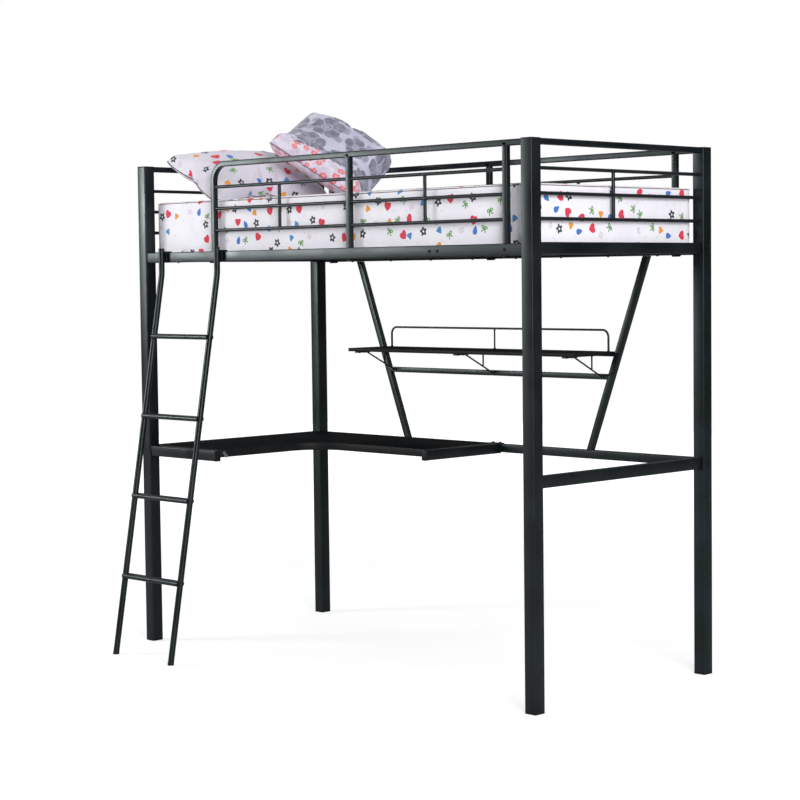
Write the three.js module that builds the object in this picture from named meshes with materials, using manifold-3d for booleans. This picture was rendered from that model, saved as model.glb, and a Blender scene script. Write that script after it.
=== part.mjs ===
// Loft bed with a desk under it, in millimetres, +Z up.
//
// A steel frame of four square posts carries the mattress at about eye height. Guard rails stand
// round the mattress, a hook-on ladder leans on the front rail, and below it an L-shaped desk and
// a wall of shelf brackets hang between the back rails. The front of the bed faces -Y, and +X is
// the end away from the ladder. The origin is on the floor, under the middle of the whole object.

import * as THREE from 'three';
import { mergeVertices } from 'three/addons/utils/BufferGeometryUtils.js';
import Module from 'manifold-3d';

const wasm = await Module();
wasm.setup();

// Overall
const LENGTH = 1990; // over the posts, along X
const WIDTH = 915; // over the posts, along Y
const HEIGHT = 1800; // floor to post top
const LADDER_REACH = 267; // how far the ladder's feet stand out in front of the posts
const GAP = 0.3; // clearance kept between two pieces that touch

// Posts
const POST = 46;
const POST_WALL = 1.5;
const POST_RADIUS = 4;
const CAP_HEIGHT = 4;
const FOOT_HEIGHT = 6;
const SPIGOT_LENGTH = 22;

// Mattress-level rails
const RAIL_TOP = 1475;
const RAIL_HEIGHT = 38;
const RAIL_DEPTH = 20;
const RAIL_INSET = 5; // rail face behind the post face
const RAIL_WALL = 1.5;
const RAIL_RADIUS = 3;
const SMALL_TUBE_RADIUS = 2.5; // slats and the tubes under the shelf
const END_RAIL_TOP = 1478;

// Lower rails, level with the desk
const LOWER_RAIL_TOP = 748;
const LOWER_RAIL_HEIGHT = 40;
const BACK_BEAM_TOP = 745;
const BACK_BEAM_HEIGHT = 32;

// Guards
const GUARD_TUBE = 20;
const GUARD_RADIUS = 3;
const GUARD_BEND = 62; // centre-line radius of the front guard's bend
const GUARD_FOOT = 1432; // lower end of the guard legs
const BAR = 12; // diameter of the thin guard bars
const BAR_HEIGHTS = [1708, 1630, 1551];
const FRONT_LEGS = [-583, 137.5, 858];
const BACK_LEGS = [-868, 0, 868];
const END_MULLION_Y = -36;

// Mattress, its slats and the pillows
const SLAT_COUNT = 8;
const SLAT_PITCH = 221;
const SLAT_WIDTH = 30;
const SLAT_HEIGHT = 15;
const SLAT_TOP = 1460;
const MATTRESS = { length: 1900, width: 800, thickness: 200, corner: 20, edge: 14 };
const PILLOWS = {
  pillow_left: {
    centre: [-737, -131, 1763],
    widthAxis: [0.104, 0.994, 0.037],
    heightAxis: [-0.885, 0.074, 0.455],
    size: [521, 353, 124],
  },
  pillow_right: {
    centre: [-446, 36, 1832],
    widthAxis: [0.674, 0.483, -0.55],
    heightAxis: [-0.24, 0.86, 0.42],
    size: [366, 325, 140],
  },
};

// Back struts and shelf
const STRUT_TOP_X = 727;
const STRUT_FOOT_X = 467;
const STRUT_WIDTH = 26.5; // measured level
const SHELF_BAR_TOP = 1020;
const SHELF_BAR_HEIGHT = 20;
const SHELF = { length: 1150, front: 225, bottom: 1088, thickness: 13 };
const SHELF_BACK_RAIL_HEIGHT = 18;
const SHELF_BRACKETS_X = [-528, 0, 528];
const TAB = { width: 20, thickness: 5, inset: 2, back: 290 };
const STRAP = { width: 14, thickness: 2.5, lap: 4 };
const FOOT_PLATE = { size: 18, thickness: 2.5 };
const BRACE_Y = 378; // upright wire between the strap and the diagonal
const WIRE = 6;
const GALLERY = { wire: 8, top: 1181, legX: 552, bend: 26 };

// Desk
const DESK_TOP = 748;
const DESK_THICKNESS = 28;
const DESK_WING_X = -575; // free edge of the left wing
const DESK_WING_Y = 60; // free edge of the back wing
const DESK_INNER_RADIUS = 130;
const DESK_CORNER_RADIUS = 14;
const ARM = { width: 25, height: 38, wall: 1.5, top: 746 };
const ARM_RIGHT_X = 10.5; // centre of the arm at the desk's right end
const DESK_STRAP = { width: 12, thickness: 2, corner: 0.8, from: 44, to: 62, drop: 8 };

// Ladder
const STRINGERS_X = [-842, -518];
const STRINGER = 22; // diameter
const STRINGER_WALL = 1.5;
const STRINGER_TOP = 1487;
const STRINGER_BEND_HEIGHT = 1395;
const STRINGER_BEND = 220;
const RUNG_HEIGHTS = [1165, 872, 579, 286];
const RUNG = { height: 18, depth: 36, wall: 1.5 };
const HOOK = { width: 28, plate: 4, lip: 32, slack: 0.4 };
const LADDER_FOOT_HEIGHT = 9;
const LADDER_PLUG_DEPTH = 18;

// Places worked out from the sizes above
const postX = LENGTH / 2 - POST / 2;
const postY = WIDTH / 2 - POST / 2;
const innerX = LENGTH / 2 - POST;
const innerY = WIDTH / 2 - POST;
const railOuterY = WIDTH / 2 - RAIL_INSET;
const railY = railOuterY - RAIL_DEPTH / 2;
const railInnerY = railOuterY - RAIL_DEPTH;
const guardY = railInnerY - GAP - GUARD_TUBE / 2;
const guardTopZ = HEIGHT - GUARD_TUBE / 2;
const stringerY = -railOuterY - HOOK.slack - HOOK.plate - GAP - STRINGER / 2;
const ladderFootY = -WIDTH / 2 - LADDER_REACH + STRINGER / 2 + 0.2;

// Materials

function paint(color, roughness, metalness) {
  return new THREE.MeshStandardMaterial({ color, roughness, metalness });
}

const frameMaterial = paint(0x3a4246, 0.42, 0.55);
const wireMaterial = paint(0x17191b, 0.4, 0.5);
const boardMaterial = paint(0x141619, 0.5, 0);
const plasticMaterial = paint(0x101214, 0.6, 0);
const zincMaterial = paint(0x9a9b9b, 0.38, 0.9);
const sheetMaterial = paint(0xeeeaf4, 0.9, 0);
const petalMaterial = paint(0xb9b8c8, 0.9, 0);

// Outlines

function roundedRectangle(width, height, radius) {
  const x = width / 2 - radius;
  const y = height / 2 - radius;
  const shape = new THREE.Shape();
  shape.absarc(x, y, radius, 0, Math.PI / 2);
  shape.absarc(-x, y, radius, Math.PI / 2, Math.PI);
  shape.absarc(-x, -y, radius, Math.PI, Math.PI * 1.5);
  shape.absarc(x, -y, radius, Math.PI * 1.5, Math.PI * 2);
  shape.closePath();
  return shape;
}

function polygon(points) {
  return new THREE.Shape(points.map(([x, y]) => new THREE.Vector2(x, y)));
}

function circle(diameter) {
  const shape = new THREE.Shape();
  shape.absarc(0, 0, diameter / 2, 0, Math.PI * 2);
  return shape;
}

// A rectangular section, hollow where it has a wall thickness.
function tubeSection(width, height, radius, wall = 0) {
  const shape = roundedRectangle(width, height, radius);
  if (wall > 0) {
    const innerRadius = Math.max(radius - wall, 0.6);
    shape.holes.push(roundedRectangle(width - 2 * wall, height - 2 * wall, innerRadius));
  }
  return shape;
}

function pipeSection(diameter, wall = 0) {
  const shape = circle(diameter);
  if (wall > 0) {
    shape.holes.push(circle(diameter - 2 * wall));
  }
  return shape;
}

// Solids

const vector = ([x, y, z]) => new THREE.Vector3(x, y, z);

// A section extruded from one point to another. The section's second axis leans towards "up".
function beam(section, from, to, { up = [0, 0, 1], curveSegments = 1 } = {}) {
  const start = vector(from);
  const along = vector(to).sub(start);
  const depth = along.length();
  along.normalize();
  const second = vector(up);
  second.addScaledVector(along, -second.dot(along)).normalize();
  const first = second.clone().cross(along);
  const geometry = new THREE.ExtrudeGeometry(section, { depth, bevelEnabled: false, curveSegments });
  const frame = new THREE.Matrix4().makeBasis(first, second, along).setPosition(start);
  return geometry.applyMatrix4(frame);
}

function rod(diameter, from, to, up = [0, 0, 1], curveSegments = 6) {
  return beam(pipeSection(diameter), from, to, { up, curveSegments });
}

function box(x0, x1, y0, y1, z0, z1) {
  const geometry = new THREE.BoxGeometry(x1 - x0, y1 - y0, z1 - z0);
  return geometry.translate((x0 + x1) / 2, (y0 + y1) / 2, (z0 + z1) / 2);
}

// A centre line of straight stretches and round bends, with stations only where it bends.
class BentPath extends THREE.Curve {
  constructor(corners, bendRadius, bendSteps) {
    super();
    this.points = [];
    this.tangents = [];
    const places = corners.map(vector);
    places.forEach((place, i) => {
      const before = i > 0 ? place.clone().sub(places[i - 1]).normalize() : null;
      const after = i < places.length - 1 ? places[i + 1].clone().sub(place).normalize() : null;
      if (before && after) {
        this.addBend(place, before, after, bendRadius, bendSteps);
      } else {
        this.addStation(place, before ?? after);
      }
    });
  }

  addStation(point, tangent) {
    this.points.push(point.clone());
    this.tangents.push(tangent.clone());
  }

  addBend(corner, before, after, radius, steps) {
    const angle = before.angleTo(after);
    const start = corner.clone().addScaledVector(before, -radius * Math.tan(angle / 2));
    const side = after.clone().addScaledVector(before, -after.dot(before)).normalize();
    for (let i = 0; i <= steps; i += 1) {
      const turn = (angle * i) / steps;
      const point = start.clone().addScaledVector(before, radius * Math.sin(turn));
      point.addScaledVector(side, radius * (1 - Math.cos(turn)));
      const tangent = before.clone().multiplyScalar(Math.cos(turn));
      this.addStation(point, tangent.addScaledVector(side, Math.sin(turn)));
    }
  }

  get steps() {
    return this.points.length - 1;
  }

  station(u) {
    return Math.round(u * this.steps);
  }

  getPointAt(u) {
    return this.points[this.station(u)].clone();
  }

  getTangentAt(u) {
    return this.tangents[this.station(u)].clone();
  }
}

function bentTube(section, corners, bendRadius, { bendSteps = 6, curveSegments = 1 } = {}) {
  const extrudePath = new BentPath(corners, bendRadius, bendSteps);
  return new THREE.ExtrudeGeometry(section, { steps: extrudePath.steps, extrudePath, curveSegments });
}

// A closed pillow: a rounded square in plan, thickest in the middle and thin at its seam.
function pillowSolid(width, height, thickness) {
  const geometry = new THREE.SphereGeometry(1, 24, 12);
  const position = geometry.attributes.position;
  const squareness = 4;
  for (let i = 0; i < position.count; i += 1) {
    const [x, y, z] = [position.getX(i), position.getZ(i), position.getY(i)];
    const plan = Math.hypot(x, y);
    const [cos, sin] = plan > 1e-9 ? [x / plan, y / plan] : [1, 0];
    const edge = (Math.abs(cos) ** squareness + Math.abs(sin) ** squareness) ** (-1 / squareness);
    const reach = plan * edge;
    position.setXYZ(i, (-width / 2) * reach * cos, (height / 2) * reach * sin, (thickness / 2) * z);
  }
  return geometry;
}

// Boolean joins and cuts

function toManifold(geometry) {
  const bare = geometry.clone();
  bare.deleteAttribute('normal');
  bare.deleteAttribute('uv');
  const merged = mergeVertices(bare, 1e-4);
  const vertProperties = Float32Array.from(merged.attributes.position.array);
  const triVerts = Uint32Array.from(merged.index.array);
  return new wasm.Manifold(new wasm.Mesh({ numProp: 3, vertProperties, triVerts }));
}

function fromManifold(solid) {
  const mesh = solid.getMesh();
  const geometry = new THREE.BufferGeometry();
  geometry.setAttribute('position', new THREE.BufferAttribute(mesh.vertProperties, 3));
  geometry.setIndex(new THREE.BufferAttribute(mesh.triVerts, 1));
  geometry.computeVertexNormals();
  return geometry;
}

function join(...geometries) {
  return fromManifold(geometries.map(toManifold).reduce((all, next) => all.add(next)));
}

function cut(geometry, ...tools) {
  return fromManifold(tools.map(toManifold).reduce((all, next) => all.subtract(next), toManifold(geometry)));
}

function keepInside(geometry, region) {
  return fromManifold(toManifold(geometry).intersect(toManifold(region)));
}

// Assembly

const bed = new THREE.Group();
bed.position.y = LADDER_REACH / 2;

function add(name, geometry, material) {
  const mesh = new THREE.Mesh(geometry, material);
  mesh.name = name;
  bed.add(mesh);
  return mesh;
}

const ENDS = { left: -1, right: 1 };
const SIDES = { front: -1, back: 1 };

// A flat plate with a square spigot that plugs into a post's open end.
function postPlug(x, y, faceZ, bodyZ, spigotZ) {
  const spigot = POST - 2 * POST_WALL - 2 * GAP;
  const plateSection = tubeSection(POST, POST, POST_RADIUS);
  const spigotSection = tubeSection(spigot, spigot, POST_RADIUS - POST_WALL);
  const overlap = Math.sign(faceZ - bodyZ);
  return join(
    beam(plateSection, [x, y, faceZ], [x, y, bodyZ], { up: [0, 1, 0] }),
    beam(spigotSection, [x, y, bodyZ + overlap], [x, y, spigotZ], { up: [0, 1, 0] }),
  );
}

function addPosts() {
  const section = tubeSection(POST, POST, POST_RADIUS, POST_WALL);
  const tubeFoot = FOOT_HEIGHT + GAP;
  const tubeTop = HEIGHT - CAP_HEIGHT - GAP;
  for (const [side, sideSign] of Object.entries(SIDES)) {
    for (const [end, endSign] of Object.entries(ENDS)) {
      const x = endSign * postX;
      const y = sideSign * postY;
      const place = `${side}_${end}`;
      const tube = beam(section, [x, y, tubeFoot], [x, y, tubeTop], { up: [0, 1, 0] });
      const foot = postPlug(x, y, 0, FOOT_HEIGHT, FOOT_HEIGHT + SPIGOT_LENGTH);
      const cap = postPlug(x, y, HEIGHT, HEIGHT - CAP_HEIGHT, HEIGHT - CAP_HEIGHT - SPIGOT_LENGTH);
      add(`post_${place}`, tube, frameMaterial);
      add(`post_foot_${place}`, foot, plasticMaterial);
      add(`post_cap_${place}`, cap, plasticMaterial);
    }
  }
}

function addRails() {
  const section = tubeSection(RAIL_DEPTH, RAIL_HEIGHT, RAIL_RADIUS, RAIL_WALL);
  const lowerSection = tubeSection(RAIL_DEPTH, LOWER_RAIL_HEIGHT, RAIL_RADIUS, RAIL_WALL);
  const beamSection = tubeSection(RAIL_DEPTH, BACK_BEAM_HEIGHT, RAIL_RADIUS, RAIL_WALL);
  const topSection = tubeSection(GUARD_TUBE, GUARD_TUBE, GUARD_RADIUS, RAIL_WALL);
  const xEnd = innerX - GAP;
  const yEnd = innerY - GAP;
  for (const [side, sign] of Object.entries(SIDES)) {
    const z = RAIL_TOP - RAIL_HEIGHT / 2;
    add(`side_rail_${side}`, beam(section, [-xEnd, sign * railY, z], [xEnd, sign * railY, z]), frameMaterial);
  }
  for (const [end, sign] of Object.entries(ENDS)) {
    const x = sign * postX;
    const across = (z) => [[x, -yEnd, z], [x, yEnd, z]];
    const endRail = beam(section, ...across(END_RAIL_TOP - RAIL_HEIGHT / 2));
    const lowerRail = beam(lowerSection, ...across(LOWER_RAIL_TOP - LOWER_RAIL_HEIGHT / 2));
    add(`end_rail_${end}`, endRail, frameMaterial);
    add(`lower_end_rail_${end}`, lowerRail, frameMaterial);
    add(`end_top_rail_${end}`, beam(topSection, ...across(guardTopZ)), frameMaterial);
  }
  const beamZ = BACK_BEAM_TOP - BACK_BEAM_HEIGHT / 2;
  add('lower_back_beam', beam(beamSection, [-xEnd, railY, beamZ], [xEnd, railY, beamZ]), frameMaterial);
}

// Thin level bars at the three bar heights, from one end to the other, in one welded piece with
// short uprights that run from the highest bar to the lowest.
function guardBars(from, to, uprights, up) {
  const level = BAR_HEIGHTS.map((z) => rod(BAR, [...from, z], [...to, z]));
  const [highest, , lowest] = BAR_HEIGHTS;
  return [...level, ...uprights.map((place) => rod(BAR, [...place, lowest], [...place, highest], up))];
}

function middles(values) {
  return values.slice(1).map((value, i) => (value + values[i]) / 2);
}

function addFrontGuard() {
  const y = -guardY;
  const section = tubeSection(GUARD_TUBE, GUARD_TUBE, GUARD_RADIUS);
  const [first, middle, last] = FRONT_LEGS;
  const corners = [[first, y, GUARD_FOOT], [first, y, guardTopZ], [innerX - GAP, y, guardTopZ]];
  const frame = bentTube(section, corners, GUARD_BEND, { bendSteps: 8 });
  const up = [0, 1, 0];
  const legs = [middle, last].map((x) => beam(section, [x, y, GUARD_FOOT], [x, y, guardTopZ], { up }));
  const bars = guardBars([first, y], [last, y], middles(FRONT_LEGS).map((x) => [x, y]), [0, 1, 0]);
  add('guard_rail_front', join(frame, ...legs, ...bars), frameMaterial);
}

function addBackGuard() {
  const y = guardY;
  const section = tubeSection(GUARD_TUBE, GUARD_TUBE, GUARD_RADIUS);
  const xEnd = innerX - GAP;
  const top = beam(section, [-xEnd, y, guardTopZ], [xEnd, y, guardTopZ]);
  const legs = BACK_LEGS.map((x) => beam(section, [x, y, GUARD_FOOT], [x, y, guardTopZ], { up: [0, 1, 0] }));
  const [first, , last] = BACK_LEGS;
  const bars = guardBars([first, y], [last, y], middles(BACK_LEGS).map((x) => [x, y]), [0, 1, 0]);
  add('guard_rail_back', join(top, ...legs, ...bars), frameMaterial);
}

function addEndGuards() {
  for (const [end, sign] of Object.entries(ENDS)) {
    const x = sign * postX;
    const yEnd = innerY - GAP;
    const bars = guardBars([x, -yEnd], [x, yEnd], [[x, END_MULLION_Y]], [0, 1, 0]);
    add(`end_guard_bars_${end}`, join(...bars), frameMaterial);
  }
}

function addSlats() {
  const section = tubeSection(SLAT_WIDTH, SLAT_HEIGHT, SMALL_TUBE_RADIUS, RAIL_WALL);
  const y = railInnerY - GAP;
  const z = SLAT_TOP - SLAT_HEIGHT / 2;
  for (let i = 0; i < SLAT_COUNT; i += 1) {
    const x = (i - (SLAT_COUNT - 1) / 2) * SLAT_PITCH;
    add(`slat_${i + 1}`, beam(section, [x, -y, z], [x, y, z]), frameMaterial);
  }
}

// Struts, shelf and its brackets

const strutFootZ = BACK_BEAM_TOP + GAP;
const strutTopZ = RAIL_TOP - RAIL_HEIGHT - GAP;
const strutSlope = (STRUT_TOP_X - STRUT_FOOT_X) / (strutTopZ - strutFootZ);

function strutX(z) {
  return STRUT_FOOT_X + (z - strutFootZ) * strutSlope;
}

// An upright tube sheared sideways, so that both its ends stay level.
function addStruts() {
  const section = tubeSection(STRUT_WIDTH, RAIL_DEPTH, RAIL_RADIUS, RAIL_WALL);
  for (const [end, sign] of Object.entries(ENDS)) {
    const tube = beam(section, [0, railY, strutFootZ], [0, railY, strutTopZ], { up: [0, 1, 0] });
    const shear = new THREE.Matrix4().makeShear(0, 0, 0, 0, sign * strutSlope, 0);
    tube.translate(0, 0, -strutFootZ).applyMatrix4(shear);
    tube.translate(sign * STRUT_FOOT_X, 0, strutFootZ);
    add(`strut_${end}`, tube, frameMaterial);
  }
}

// The space between the two struts, less a gap on each side.
function betweenStruts() {
  const [low, high] = [strutFootZ, strutTopZ];
  const reach = (z) => strutX(z) - STRUT_WIDTH / 2 - 1.5 * GAP;
  const outline = polygon([[-reach(low), low], [reach(low), low], [reach(high), high], [-reach(high), high]]);
  const geometry = new THREE.ExtrudeGeometry(outline, { depth: 200, bevelEnabled: false });
  return geometry.rotateX(Math.PI / 2).translate(0, railY + 100, 0);
}

function addShelf() {
  const region = betweenStruts();
  const cross = (height, top) => {
    const z = top - height / 2;
    const section = tubeSection(RAIL_DEPTH, height, SMALL_TUBE_RADIUS, RAIL_WALL);
    const reach = strutX(top);
    return keepInside(beam(section, [-reach, railY, z], [reach, railY, z]), region);
  };
  const shelfTop = SHELF.bottom + SHELF.thickness;
  add('shelf_bar', cross(SHELF_BAR_HEIGHT, SHELF_BAR_TOP), frameMaterial);
  add('shelf_back_rail', cross(SHELF_BACK_RAIL_HEIGHT, shelfTop), frameMaterial);

  const back = railInnerY - GAP;
  const board = roundedRectangle(SHELF.length, back - SHELF.front, 5);
  const settings = { depth: SHELF.thickness, bevelEnabled: false, curveSegments: 2 };
  const geometry = new THREE.ExtrudeGeometry(board, settings);
  geometry.translate(0, (back + SHELF.front) / 2, SHELF.bottom);
  add('shelf_board', geometry, boardMaterial);
}

// A strap under the board, a wider tab at its front, and two wires that brace it to the bar.
function addShelfBrackets() {
  const top = SHELF.bottom - GAP;
  const back = railInnerY - GAP;
  const barZ = SHELF_BAR_TOP - SHELF_BAR_HEIGHT / 2;
  const tabZ = top - WIRE / 2;
  const braceZ = tabZ + ((barZ - tabZ) * (BRACE_Y - TAB.back)) / (back - TAB.back);
  const halfTab = TAB.width / 2;
  const halfStrap = STRAP.width / 2;
  const halfFoot = FOOT_PLATE.size / 2;
  SHELF_BRACKETS_X.forEach((x, i) => {
    const tab = box(x - halfTab, x + halfTab, SHELF.front + TAB.inset, TAB.back, top - TAB.thickness, top);
    const strap = box(x - halfStrap, x + halfStrap, TAB.back - STRAP.lap, back, top - STRAP.thickness, top);
    const footFront = back - FOOT_PLATE.thickness;
    const footPlate = box(x - halfFoot, x + halfFoot, footFront, back, barZ - halfFoot, barZ + halfFoot);
    const diagonal = rod(WIRE, [x, TAB.back - WIRE, tabZ], [x, back - 1, barZ], [0, 0, 1], 4);
    const upright = rod(WIRE, [x, BRACE_Y, braceZ], [x, BRACE_Y, top - 0.5], [0, 1, 0], 4);
    add(`shelf_bracket_${i + 1}`, join(tab, strap, footPlate, diagonal, upright), wireMaterial);
  });
}

function addGallery() {
  const foot = SHELF.bottom + SHELF.thickness + GAP;
  const top = GALLERY.top - GALLERY.wire / 2;
  const x = GALLERY.legX;
  const corners = [[-x, railY, foot], [-x, railY, top], [x, railY, top], [x, railY, foot]];
  const hoop = bentTube(pipeSection(GALLERY.wire), corners, GALLERY.bend, { bendSteps: 4, curveSegments: 5 });
  const middle = rod(WIRE, [0, railY, foot], [0, railY, top], [0, 1, 0]);
  add('shelf_gallery_rail', join(hoop, middle), wireMaterial);
}

// Desk

function deskOutline() {
  const left = -innerX + GAP;
  const front = -railOuterY + ARM.width + GAP;
  const back = railInnerY - 3;
  const right = ARM_RIGHT_X - ARM.width / 2 - GAP;
  const r = DESK_CORNER_RADIUS;
  const inner = DESK_INNER_RADIUS;
  const shape = new THREE.Shape();
  shape.moveTo(left, front);
  shape.lineTo(DESK_WING_X - r, front);
  shape.absarc(DESK_WING_X - r, front + r, r, -Math.PI / 2, 0);
  shape.lineTo(DESK_WING_X, DESK_WING_Y - inner);
  shape.absarc(DESK_WING_X + inner, DESK_WING_Y - inner, inner, Math.PI, Math.PI / 2, true);
  shape.lineTo(right, DESK_WING_Y);
  shape.lineTo(right, back);
  shape.lineTo(left, back);
  shape.closePath();
  return shape;
}

function addDesk() {
  const board = new THREE.ExtrudeGeometry(deskOutline(), {
    depth: DESK_THICKNESS,
    bevelEnabled: false,
    curveSegments: 7,
  });
  board.translate(0, 0, DESK_TOP - DESK_THICKNESS);
  add('desk_top', board, boardMaterial);

  const section = tubeSection(ARM.width, ARM.height, 3, ARM.wall);
  const z = ARM.top - ARM.height / 2;
  const armY = -railOuterY + ARM.width / 2;
  const bracket = 2.5;
  const backEnd = railInnerY - 2 * GAP - bracket;
  const front = beam(section, [-innerX + GAP, armY, z], [DESK_WING_X + 4, armY, z]);
  const right = beam(section, [ARM_RIGHT_X, DESK_WING_Y - 6, z], [ARM_RIGHT_X, backEnd, z]);
  add('desk_arm_front', front, frameMaterial);
  add('desk_arm_right', right, frameMaterial);

  // An angle plate that clamps the right arm over the back beam.
  const face = railInnerY - GAP;
  const seat = BACK_BEAM_TOP + GAP;
  const low = ARM.top - ARM.height + 1;
  const angle = polygon([
    [face - bracket, low],
    [face, low],
    [face, seat],
    [railOuterY - 1, seat],
    [railOuterY - 1, seat + bracket],
    [face - bracket, seat + bracket],
  ]);
  const plate = new THREE.ExtrudeGeometry(angle, { depth: 60, bevelEnabled: false });
  plate.rotateY(Math.PI / 2).rotateX(Math.PI / 2).translate(ARM_RIGHT_X - 34, 0, 0);
  add('desk_arm_bracket', plate, frameMaterial);
}

// A bright strap that ties the board's corner to the front arm.
function addDeskStrap() {
  const x = DESK_WING_X + GAP;
  const section = roundedRectangle(DESK_STRAP.width, DESK_STRAP.thickness, DESK_STRAP.corner);
  const from = [x + 1, -railOuterY + DESK_STRAP.from, DESK_TOP - DESK_STRAP.drop];
  const to = [x + 1, -railOuterY + DESK_STRAP.to, DESK_TOP - DESK_THICKNESS + 1];
  add('desk_corner_strap', beam(section, from, to, { up: [1, 0, 0] }), zincMaterial);
}

// Ladder

const ladderSlope = (stringerY - ladderFootY) / STRINGER_BEND_HEIGHT;

function ladderY(z) {
  return ladderFootY + z * ladderSlope;
}

function addLadder() {
  const footTop = LADDER_FOOT_HEIGHT;
  STRINGERS_X.forEach((x, i) => {
    const side = i === 0 ? 'left' : 'right';
    const corners = [
      [x, stringerY, STRINGER_TOP],
      [x, stringerY, STRINGER_BEND_HEIGHT],
      [x, ladderY(footTop), footTop],
    ];
    const section = pipeSection(STRINGER, STRINGER_WALL);
    const stringer = bentTube(section, corners, STRINGER_BEND, { bendSteps: 4, curveSegments: 8 });
    add(`ladder_stringer_${side}`, stringer, frameMaterial);
    add(`ladder_foot_${side}`, ladderFoot(x), plasticMaterial);
    add(`ladder_hook_${side}`, ladderHook(x), frameMaterial);
  });
  RUNG_HEIGHTS.forEach((z, i) => add(`ladder_rung_${i + 1}`, rung(z), frameMaterial));
}

// A flat oval tube, coped at both ends to fit round the stringers.
function rung(z) {
  const y = ladderY(z);
  const section = tubeSection(RUNG.depth, RUNG.height, RUNG.height / 2 - 0.4, RUNG.wall);
  const [left, right] = STRINGERS_X;
  const tube = beam(section, [left + 2, y, z], [right - 2, y, z], { curveSegments: 3 });
  const copes = STRINGERS_X.map((x) => {
    const span = 60;
    const start = [x, ladderY(z - span), z - span];
    const end = [x, ladderY(z + span), z + span];
    return rod(STRINGER + 2 * GAP, start, end, [0, 1, 0], 8);
  });
  return cut(tube, ...copes);
}

// A plug in the stringer's lower end, cut off level with the floor.
function ladderFoot(x) {
  const r = STRINGER / 2;
  const bore = r - STRINGER_WALL - GAP;
  const depth = LADDER_PLUG_DEPTH;
  const tread = [[0, -30], [r, -30], [r, -GAP]];
  const spigot = [[bore, -GAP], [bore, depth - 2], [bore - 1.5, depth], [0, depth]];
  const profile = [...tread, ...spigot];
  const plug = new THREE.LatheGeometry(profile.map(([a, b]) => new THREE.Vector2(a, b)), 16);
  const axis = vector([0, ladderSlope, 1]).normalize();
  plug.applyQuaternion(new THREE.Quaternion().setFromUnitVectors(vector([0, 1, 0]), axis));
  plug.translate(x, ladderY(LADDER_FOOT_HEIGHT), LADDER_FOOT_HEIGHT);
  return keepInside(plug, box(x - 50, x + 50, ladderFootY - 80, ladderFootY + 80, 0, 80));
}

// A plate bent over the front rail: down its face behind the stringer, and down behind it.
function ladderHook(x) {
  const face = -railOuterY - HOOK.slack;
  const back = -railInnerY + 0.5;
  const seat = RAIL_TOP + HOOK.slack;
  const t = HOOK.plate;
  const outline = polygon([
    [face - t, RAIL_TOP - RAIL_HEIGHT + 2],
    [face, RAIL_TOP - RAIL_HEIGHT + 2],
    [face, seat],
    [back, seat],
    [back, RAIL_TOP - HOOK.lip],
    [back + t, RAIL_TOP - HOOK.lip],
    [back + t, seat + t],
    [face - t, seat + t],
  ]);
  const geometry = new THREE.ExtrudeGeometry(outline, { depth: HOOK.width, bevelEnabled: false });
  return geometry.rotateY(Math.PI / 2).rotateX(Math.PI / 2).translate(x - HOOK.width / 2, 0, 0);
}

// Bedding

function addMattress() {
  const { length, width, thickness, corner, edge } = MATTRESS;
  const outline = roundedRectangle(length - 2 * edge, width - 2 * edge, corner - edge);
  const geometry = new THREE.ExtrudeGeometry(outline, {
    depth: thickness - 2 * edge,
    bevelThickness: edge,
    bevelSize: edge,
    bevelSegments: 3,
    curveSegments: 2,
  });
  add('mattress', geometry.translate(0, 0, SLAT_TOP + GAP + edge), sheetMaterial);
}

function addPillows() {
  const materials = { pillow_left: sheetMaterial, pillow_right: petalMaterial };
  for (const [name, { centre, widthAxis, heightAxis, size }] of Object.entries(PILLOWS)) {
    const across = vector(widthAxis).normalize();
    const up = vector(heightAxis);
    up.addScaledVector(across, -up.dot(across)).normalize();
    const frame = new THREE.Matrix4().makeBasis(across, up, across.clone().cross(up));
    add(name, pillowSolid(...size).applyMatrix4(frame.setPosition(vector(centre))), materials[name]);
  }
}

addPosts();
addRails();
addFrontGuard();
addBackGuard();
addEndGuards();
addSlats();
addStruts();
addShelf();
addShelfBrackets();
addGallery();
addDesk();
addDeskStrap();
addLadder();
addMattress();
addPillows();

export default bed;
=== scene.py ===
"""A steel loft bed with a desk under it: its looks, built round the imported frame. Metres, +Z up.

The bed's front faces -Y and its ladder is at the -X end. Every place comes from the frame's boxes,
from the bed's middle line, or from the driving sizes below.
"""

import math
import random
from itertools import accumulate

import bmesh
import bpy
import numpy as np
from mathutils import Matrix, Vector

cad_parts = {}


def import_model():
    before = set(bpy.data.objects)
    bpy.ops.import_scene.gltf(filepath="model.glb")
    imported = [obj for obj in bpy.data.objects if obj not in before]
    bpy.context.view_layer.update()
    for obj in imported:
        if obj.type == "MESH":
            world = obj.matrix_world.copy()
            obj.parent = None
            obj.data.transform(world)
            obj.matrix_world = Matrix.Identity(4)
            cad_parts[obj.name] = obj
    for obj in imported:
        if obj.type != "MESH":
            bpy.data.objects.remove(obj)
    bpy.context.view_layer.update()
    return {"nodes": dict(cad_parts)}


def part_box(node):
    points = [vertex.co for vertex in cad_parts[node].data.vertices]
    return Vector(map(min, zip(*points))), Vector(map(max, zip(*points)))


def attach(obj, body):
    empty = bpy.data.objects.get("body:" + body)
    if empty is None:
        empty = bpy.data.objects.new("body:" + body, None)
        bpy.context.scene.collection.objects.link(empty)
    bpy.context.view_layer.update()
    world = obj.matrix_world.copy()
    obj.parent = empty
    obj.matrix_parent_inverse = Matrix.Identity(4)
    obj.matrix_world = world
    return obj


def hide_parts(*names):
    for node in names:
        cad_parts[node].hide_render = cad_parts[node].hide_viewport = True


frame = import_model()

MM = 0.001
X_AXIS, Y_AXIS, Z_AXIS = Vector((1, 0, 0)), Vector((0, 1, 0)), Vector((0, 0, 1))


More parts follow.
